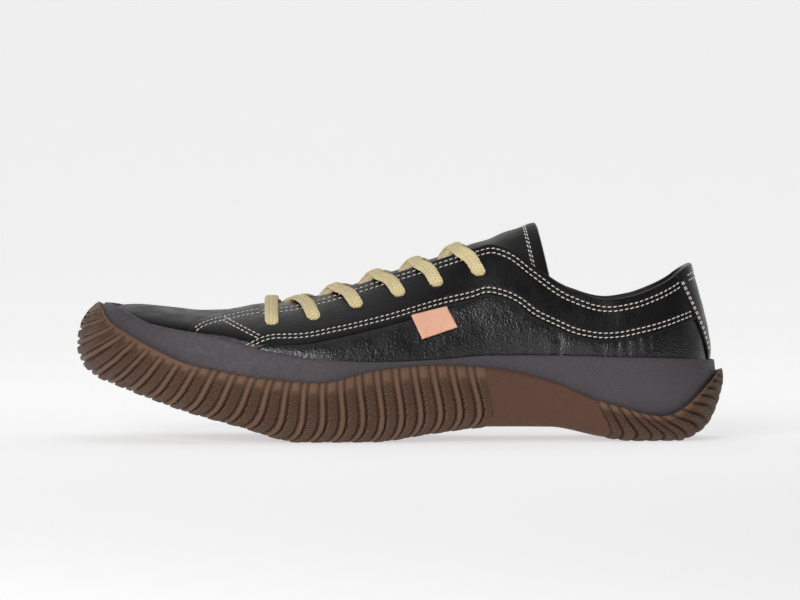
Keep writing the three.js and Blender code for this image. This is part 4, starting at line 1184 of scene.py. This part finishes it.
def build_tongue():
    ats = np.linspace(TONGUE_ROWS[0][0], TONGUE_ROWS[-1][0], TONGUE_ALONG)
    surface = curve_through(tongue_controls(ats), np.linspace(0, CONTROLS - 1, TONGUE_ACROSS))
    normal = unit(np.cross(np.gradient(surface, axis=0), np.gradient(surface, axis=1)))
    if normal[TONGUE_ALONG // 3, TONGUE_ACROSS // 2, 2] < 0:
        normal = -normal
    along = np.linspace(0, 1, TONGUE_ALONG)[:, None]
    across = np.linspace(-1, 1, TONGUE_ACROSS)[None, :]
    body = (1 - np.abs(across) ** 14) ** 0.5 * (1 - np.abs(2 * along - 1) ** 110) ** 0.5
    thick = (TONGUE_THICKNESS - 0.6) * body
    rows = sum(ridge(ats[:, None] - row, 0.0016) for row in TONGUE_ROW_ATS)
    puff = 0.3 * np.cos(across * 1.5) - 0.25 * rows
    puff = puff + 0.12 * np.sin(along * 46 + 2 * np.sin(across * 3)) * (1 - np.abs(across))
    middle = surface - normal * (TONGUE_THICKNESS / 2)
    top = middle + normal * (thick / 2 + puff * body)[..., None]
    under = middle - normal * (thick / 2)[..., None]
    grid = np.concatenate([top, under[:, ::-1]], axis=1)
    piece = grid_object("padded_tongue", grid, [TONGUE_LEATHER], closed_columns=True)
    fix_facing(piece)
    finish_piece(piece, "tongue_leather", "tongue")
    return top, normal, ats


# Turns every face of a closed piece outwards
def fix_facing(piece):
    work = bmesh.new()
    work.from_mesh(piece.data)
    bmesh.ops.recalc_face_normals(work, faces=work.faces)
    work.to_mesh(piece.data)
    work.free()


# Insole: a footbed that follows the upper's lower edge
def build_insole():
    turns = ring_turns(midsole_skin, 1.0, 120)
    edge = upper_at(turns, 0 * turns, 0 * turns) - level_out(turns) * (LEATHER_WALL + 2 * FIT_GAP)
    out = level_out(turns)
    rows = [edge]
    for inset, share in ((0.0, 0.75), (0.35, 0.93), (1.0, 1.0)):
        ring = edge - out * inset
        ring[:, 2] += INSOLE_THICKNESS * share
        rows.append(ring)
    top = closed_to_middle(rows[-1], 14)
    shares = np.linspace(0, 1, 15)[1:, None]
    top[..., 2] -= 1.1 * smooth(shares * 1.6)
    floor = closed_to_middle(edge, 4)[::-1]
    piece = grid_object("footbed", np.concatenate([floor, rows, top]), [LINING], closed_columns=True)
    finish_piece(piece, "insole_cloth", "insole")


# Laces: flat woven strips with round edges
LACE_SIDES = 20
LACE_STEPS = 74
FLATNESS = 0.62
FULLNESS = 0.85
NARROW_RUN = 3.4
NARROWEST = 0.55
LACE_OVER = PANEL_LIFT + LACE_THICKNESS / 2 + 0.35


PATH_STEPS = 600


def smooth_path(controls, count):
    controls = np.array(controls)[None]
    dense = curve_through(controls, np.linspace(0, controls.shape[1] - 1, PATH_STEPS))[0]
    lengths = lengths_along(dense)
    even = np.linspace(0, lengths[-1], count)
    return points_along(even, lengths, dense), even


def lace_section():
    angles = np.linspace(0, 2 * np.pi, LACE_SIDES, endpoint=False)
    across = np.sign(np.cos(angles)) * np.abs(np.cos(angles)) ** FLATNESS
    above = np.sign(np.sin(angles)) * np.abs(np.sin(angles)) ** FULLNESS
    return across / 2, above / 2


def strip_of(path_points, faces_up, end_narrow=True):
    path, run = smooth_path(path_points, LACE_STEPS)
    ups = np.array(faces_up, float)
    places = np.linspace(0, len(ups) - 1, LACE_STEPS)
    up = unit(points_along(places, np.arange(len(ups)), ups))
    along = unit(np.gradient(path, axis=0))
    right = unit(np.cross(along, up))
    above = np.cross(right, along)
    a, b = lace_section()
    from_end = np.minimum(run, run[-1] - run) if end_narrow else run
    narrow = mix(NARROWEST, 1.0, smooth(from_end / NARROW_RUN))
    width = LACE_WIDTH * narrow
    thick = LACE_THICKNESS * (1 + 0.5 * (1 - narrow))
    knit = 1 + 0.03 * np.sin(run * 2 * np.pi / BRAID_PITCH)
    grid = path[:, None] + right[:, None] * (a[None, :, None] * (width * knit)[:, None, None])
    grid = grid + above[:, None] * (b[None, :, None] * thick[:, None, None])
    fields = {
        "along": np.broadcast_to(run[:, None], (LACE_STEPS, LACE_SIDES)),
        "across": np.broadcast_to(a[None] * width[:, None], (LACE_STEPS, LACE_SIDES)),
    }
    tips = [ring.mean(axis=1, keepdims=True) for ring in (grid[:1], grid[-1:])]
    first, last = [np.repeat(tip, LACE_SIDES, axis=1) for tip in tips]
    grid = np.concatenate([first, grid, last])
    fields = {k: np.concatenate([v[:1], v, v[-1:]]) for k, v in fields.items()}
    return grid, fields


BAR_SHIFT = 0.02

# Way over the panel: shares up to the throat's edge and toward the next hole, and the height
HOLE_STEPS = [
    (0.0, 0.0, -2.2), (0.0, 0.0, 0.6), (0.16, 0.07, LACE_OVER - 0.15),
    (0.55, 0.2, LACE_OVER), (0.97, 0.4, LACE_OVER + 0.1),
]


# From inside a hole, out and over the panel to the throat's edge
def out_of_hole(index, side):
    at = eyelet_ats[index]
    up = eyelet_ups[index]
    ahead_at = eyelet_ats[index - 1] if index else at + BAR_SHIFT
    points, normals = [], []
    for share, ahead, lift in HOLE_STEPS:
        turn = turn_of(mix(at, ahead_at, ahead), side)
        height = mix(up, 1.0, share)
        points.append(upper_at(turn, height, lift))
        normals.append(upper_normal(turn, height))
    hole = upper_skin(turn_of(at, side), up)
    points[0] = points[0] + unit(hole - upper_skin(turn_of(at, side), up + 0.03)) * 0.2
    toward = unit(upper_skin(turn_of(at, side), 1.0) - hole)
    normals[0] = unit(normals[0] * 0.2 - toward)
    normals[1] = unit(normals[1] - toward * 0.9)
    return points, normals


def throat_middle(at, ride):
    x = SHOE_LENGTH * tongue("mid_x", at)
    return np.array([x, middle_line(x), TONGUE_HEIGHT * tongue("mid_z", at) + ride])


def lace_object(name, strips, node):
    points, faces = [], []
    fields = {"along": [], "across": []}
    start = 0
    for grid, values in strips:
        rows, columns = grid.shape[:2]
        faces.append(grid_faces(rows, columns, closed_columns=True, start=start))
        points.append(grid.reshape(-1, 3))
        start += rows * columns
        for key in fields:
            fields[key].append(np.ravel(values[key]))
    fields = {key: np.concatenate(parts) for key, parts in fields.items()}
    piece = make_object(name, np.concatenate(points), np.concatenate(faces), [COTTON], fields=fields)
    fix_facing(piece)
    finish_piece(piece, "lace_cotton", node)


BAR_RISE = 1.2
CROSS_RIDE = (1.1, 2.5)
CROSS_SHARE = 0.4
FAR_SHARE = 0.2
EDGE_SHARE = 0.08


def build_laces():
    outer, outer_ups = out_of_hole(0, -1)
    inner, inner_ups = out_of_hole(0, 1)
    middle = (outer[-1] + inner[-1]) / 2 + np.array([0, 0, BAR_RISE])
    ups = [*outer_ups, np.array([0, 0, 1.0]), *inner_ups[::-1]]
    lace_object("bottom_lace", [strip_of([*outer, middle, *inner[::-1]], ups)], "lace_bar")
    for index in range(EYELET_COUNT - 1):
        low = eyelet_ats[index]
        high = eyelet_ats[index + 1]
        strips = []
        for side, ride in ((-1, CROSS_RIDE[1]), (1, CROSS_RIDE[0])):
            points, ups = out_of_hole(index + 1, side)
            middle = throat_middle(mix(low, high, CROSS_SHARE), ride)
            far_at = mix(low, high, FAR_SHARE)
            far = throat_middle(far_at, 1.2)
            edge = upper_at(turn_of(far_at, -side), 1.0, -1.2)
            far = mix(far, edge, 0.72)
            far[2] += 0.5
            tucked = upper_at(turn_of(mix(low, high, EDGE_SHARE), -side), 0.93, -2.4)
            tilt = np.array([-0.2, 0.35 * side, 1.0])
            far_tilt = np.array([-0.2, -0.5 * side, 1.0])
            ups = [*ups, tilt, far_tilt, far_tilt]
            strips.append(strip_of([*points, middle, far, tucked], ups, end_narrow=False))
        lace_object(f"crossed_lace_{index + 1}", strips, f"lace_cross_{index + 1}")


# Side tag: a bare leather tab whose top is caught under the panel's edge
TAG_PLACE = (4.7, 55.7)
TAG_SLANT = 0.25
TAG_SHEAR = 0.44
TAG_TURN = 0.08
TAG_ROUND = 0.45


def build_tag():
    along = np.linspace(0, 1, 34)
    down = np.linspace(0, 1, 26)
    a, d = np.meshgrid(along, down)
    x = TAG_PLACE[0] + a * TAG_LENGTH + d * TAG_HEIGHT * TAG_SHEAR
    z = TAG_PLACE[1] - d * TAG_HEIGHT + a * TAG_LENGTH * (TAG_SLANT + TAG_TURN * d)
    at, up = find_on_upper(x.ravel(), z.ravel(), -1)
    at, up = at.reshape(x.shape), up.reshape(x.shape)
    base = QUARTER_LIFT + 0.25
    curl = 0.7 * smooth(d) ** 2 + 0.25 * np.abs(2 * a - 1) ** 3 * smooth(d * 1.5)
    edge = np.minimum(np.minimum(a, 1 - a) * TAG_LENGTH, np.minimum(d, 1 - d) * TAG_HEIGHT)
    near = clamp(edge / TAG_ROUND)
    round_off = np.sqrt(near * (2 - near))
    rim = 0.09 * ridge(edge - 1.1, 0.35)
    half = TAG_THICKNESS / 2 * round_off
    top = upper_at(at, up, base + curl + TAG_THICKNESS / 2 + half - rim)
    under = upper_at(at, up, base + curl + TAG_THICKNESS / 2 - half)
    grid = np.concatenate([top, under[:, ::-1]], axis=1)
    piece = grid_object("side_tab", grid, [TAG_LEATHER], closed_columns=True)
    fix_facing(piece)
    finish_piece(piece, "tag_leather", "side_tag")


# Stitches: short raised threads along rows on the leather
STITCH_LENGTH = 1.75
STITCH_GAP = 0.72
STITCH_WIDTH = 0.55
STITCH_SIDES = 7
STITCH_SHAPE = [(-0.5, 0.0), (-0.46, 0.6), (-0.3, 1.0), (0.3, 1.0), (0.46, 0.6), (0.5, 0.0)]
STITCH_SLANT = 0.1
stitch_points, stitch_faces = [], []


def add_row(points, normals):
    lengths = lengths_along(points)
    pitch = STITCH_LENGTH + STITCH_GAP
    angles = np.linspace(0, 2 * np.pi, STITCH_SIDES, endpoint=False)
    for k in range(int(lengths[-1] / pitch)):
        where = (k + 0.5) * pitch
        spots = np.array([where - STITCH_LENGTH / 2, where, where + STITCH_LENGTH / 2])
        low, centre, high = points_along(spots, lengths, points)
        normal = unit(points_along(where, lengths, normals))
        along = unit(high - low)
        side = unit(np.cross(normal, along))
        along = unit(along + side * STITCH_SLANT)
        side = unit(np.cross(normal, along))
        rings = []
        for share, girth in STITCH_SHAPE:
            dip = 0.3 * (2 * abs(share)) ** 3
            middle = centre + along * share * STITCH_LENGTH + normal * (0.14 - dip)
            reach = girth * STITCH_WIDTH / 2
            rings.append([middle + reach * (side * np.cos(w) + normal * 0.8 * np.sin(w)) for w in angles])
        start = len(stitch_points) * len(STITCH_SHAPE) * STITCH_SIDES
        stitch_points.append(np.array(rings).reshape(-1, 3))
        stitch_faces.append(grid_faces(len(rings), STITCH_SIDES, closed_columns=True, start=start))


def add_skin_row(at, up, side, lift):
    turn = turn_of(at, side)
    add_row(upper_at(turn, up, lift), upper_normal(turn, up))


# A line seen from the side, moved square to itself
def shifted_line(line, distance, upward):
    way = np.gradient(line, axis=0)
    way = unit(way) * (distance if upward else -distance)
    return line[:, 0] - way[:, 1], line[:, 1] + way[:, 0]


def add_side_row(x, z, side, lift):
    at, up = find_on_upper(x, z, side)
    add_skin_row(at, up, side, lift)


EDGE_ROW_ENDS = (-73.0, 130.5)
TOP_ROW_ENDS = (-62.0, 124.5)
SEAM_ROW_ENDS = (-90.5, -59.5)
BRANCH = ((-78.2, 54.4), (-61.4, 46.6))
THREAD_LIFT = PANEL_LIFT + 0.02
STAY_THREAD_LIFT = BACKSTAY_LIFT + 0.02
STAY_TOP_ROW = 2.2

# Millimetres from the upper's lower edge to its top at the heel
HEEL_RUN = 42.0


def build_stitches(tongue_top, tongue_normal, tongue_ats):
    edge_line = PANEL_LINE[::-1, [0, 2]]
    top_line = TOP_LINE[::-1, [0, 2]]
    seam_line = SEAM_LINE[:, [0, 2]]
    edge_gap = row_gap(edge_line[:, :1])
    top_gap = row_gap(top_line[:, :1])
    for side in (-1, 1):
        for share in (0.0, 1.0):
            x, z = shifted_line(edge_line, EDGE_ROW_AT + share * edge_gap, True)
            keep = (x > EDGE_ROW_ENDS[0]) & (x < EDGE_ROW_ENDS[1])
            add_side_row(x[keep], z[keep], side, THREAD_LIFT)
        for share in (0.0, 1.0):
            x, z = shifted_line(top_line, top_row(top_line[:, :1]) + share * top_gap, False)
            keep = (x > TOP_ROW_ENDS[0]) & (x < TOP_ROW_ENDS[1] + share * 0.6)
            add_side_row(x[keep], z[keep], side, THREAD_LIFT)
        for behind in SEAM_ROWS:
            x, z = shifted_line(seam_line, behind, False)
            keep = (x > SEAM_ROW_ENDS[0]) & (x < SEAM_ROW_ENDS[1])
            add_side_row(x[keep], z[keep], side, THREAD_LIFT)
        start, end = BRANCH
        for drop in (0.0, NARROW_GAP):
            x = np.linspace(start[0], end[0], 30) - drop * 0.4
            z = np.linspace(start[1], end[1], 30) - drop * 0.92
            add_side_row(x, z, side, THREAD_LIFT)
        for inset in STAY_ROWS:
            ups = np.linspace(0.93, 0.27, 60)
            ats = stay_width(ups) - inset / STATION_RUN
            add_skin_row(np.maximum(ats, 0.0012), ups, side, STAY_THREAD_LIFT)
    for row in TONGUE_ROW_ATS:
        j = int(np.argmin(np.abs(tongue_ats - row)))
        inside = slice(5, TONGUE_ACROSS - 5)
        add_row(tongue_top[j, inside], tongue_normal[j, inside])
    for inset in (STAY_TOP_ROW, STAY_TOP_ROW + ROW_GAP):
        for side in (-1, 1):
            add_skin_row(np.linspace(0.0, 0.03, 24), 1 - inset / HEEL_RUN, side, STAY_THREAD_LIFT)
    points, faces = np.concatenate(stitch_points), np.concatenate(stitch_faces)
    piece = make_object("seam_stitches", points, faces, [THREAD])
    fix_facing(piece)
    finish_piece(piece, "lace_cotton")


build_outsole()
build_midsole()
build_vamp()
build_quarter()
build_panel()
build_backstay()
build_insole()
tongue_top, tongue_normal, tongue_ats = build_tongue()
build_laces()
build_tag()
build_stitches(tongue_top, tongue_normal, tongue_ats)

# Stage: a pale floor that curves up far behind the shoe
FLOOR_REACH = 4.0
BACK_AT = 3.0
PALE = (0.62, 0.62, 0.62)
NEAR_GLOW = 0.32
FAR_GLOW = 0.635


def build_stage():
    profile = [(-FLOOR_REACH, 0.0), (BACK_AT - 1.0, 0.0)]
    for angle in np.linspace(0, np.pi / 2, 14)[1:]:
        profile.append((BACK_AT - 1.0 + np.sin(angle), 1.0 - np.cos(angle)))
    profile.append((BACK_AT, 4.0))
    corners, faces = [], []
    for y, z in profile:
        corners += [(-FLOOR_REACH * 1.5, y, z), (FLOOR_REACH * 1.5, y, z)]
    for i in range(len(profile) - 1):
        faces.append((2 * i, 2 * i + 1, 2 * i + 3, 2 * i + 2))
    mesh = bpy.data.meshes.new("floor")
    mesh.from_pydata(corners, [], faces)
    mesh.polygons.foreach_set("use_smooth", np.ones(len(mesh.polygons), bool))
    floor = bpy.data.objects.new("floor", mesh)
    bpy.context.scene.collection.objects.link(floor)
    paint = Paint("pale_floor", PALE, 0.9, Specular_IOR_Level=0.0)
    paint.shader.inputs["Emission Color"].default_value = (1, 1, 1, 1)
    parts = paint.add("SeparateXYZ", ("Vector", paint.where))
    glow = paint.ramp(parts.outputs["Y"], -1.25, 0.6, NEAR_GLOW, FAR_GLOW)
    paint.links.new(glow, paint.shader.inputs["Emission Strength"])
    mesh.materials.append(paint.material)


def area_light(name, place, target, size, power):
    lamp = bpy.data.lights.new(name, "AREA")
    lamp.shape = "RECTANGLE"
    lamp.size, lamp.size_y = size
    lamp.energy = power
    piece = bpy.data.objects.new(name, lamp)
    piece.location = place
    piece.rotation_euler = (Vector(target) - Vector(place)).to_track_quat("-Z", "Y").to_euler()
    bpy.context.scene.collection.objects.link(piece)


def build_lights():
    area_light("top_softbox", (0.1, 0.1, 1.5), (0, 0, 0.03), (1.9, 1.2), 4.6)
    area_light("front_softbox", (-0.6, -1.65, 0.6), (0, 0, 0.03), (1.0, 0.8), 20.0)
    area_light("toe_softbox", (-1.5, -0.5, 0.8), (-0.05, 0, 0.03), (0.9, 0.8), 1.5)
    area_light("heel_softbox", (1.5, 0.1, 0.7), (0.05, 0, 0.03), (0.8, 0.7), 0.8)
    world = bpy.data.worlds.new("studio")
    world.use_nodes = True
    background = world.node_tree.nodes["Background"]
    background.inputs["Color"].default_value = (0.9, 0.9, 0.9, 1)
    background.inputs["Strength"].default_value = 0.08
    bpy.context.scene.world = world
    bpy.context.scene.view_settings.view_transform = "Standard"


# The photograph's frame: 800 pixels across, the sole's lowest line at pixel row 438.5
PIXEL = 0.4482
FRAME_WIDTH = 800
MIDDLE_ROW = 300
FLOOR_ROW = 438.5
CAMERA_DISTANCE = 2.6
CAMERA_RISE = 1.6
SENSOR = 36.0


def build_camera():
    camera = bpy.data.cameras.new("camera")
    camera.sensor_width = SENSOR
    camera.lens = SENSOR * CAMERA_DISTANCE / (FRAME_WIDTH * PIXEL * METRE)
    camera.clip_end = 50
    piece = bpy.data.objects.new("camera", camera)
    bpy.context.scene.collection.objects.link(piece)
    target = Vector((0.0, 0.0, (FLOOR_ROW - MIDDLE_ROW) * PIXEL * METRE))
    rise = np.radians(CAMERA_RISE)
    piece.location = target + CAMERA_DISTANCE * Vector((0, -np.cos(rise), np.sin(rise)))
    piece.rotation_euler = (target - piece.location).to_track_quat("-Z", "Y").to_euler()
    bpy.context.scene.camera = piece


build_stage()
build_lights()
build_camera()
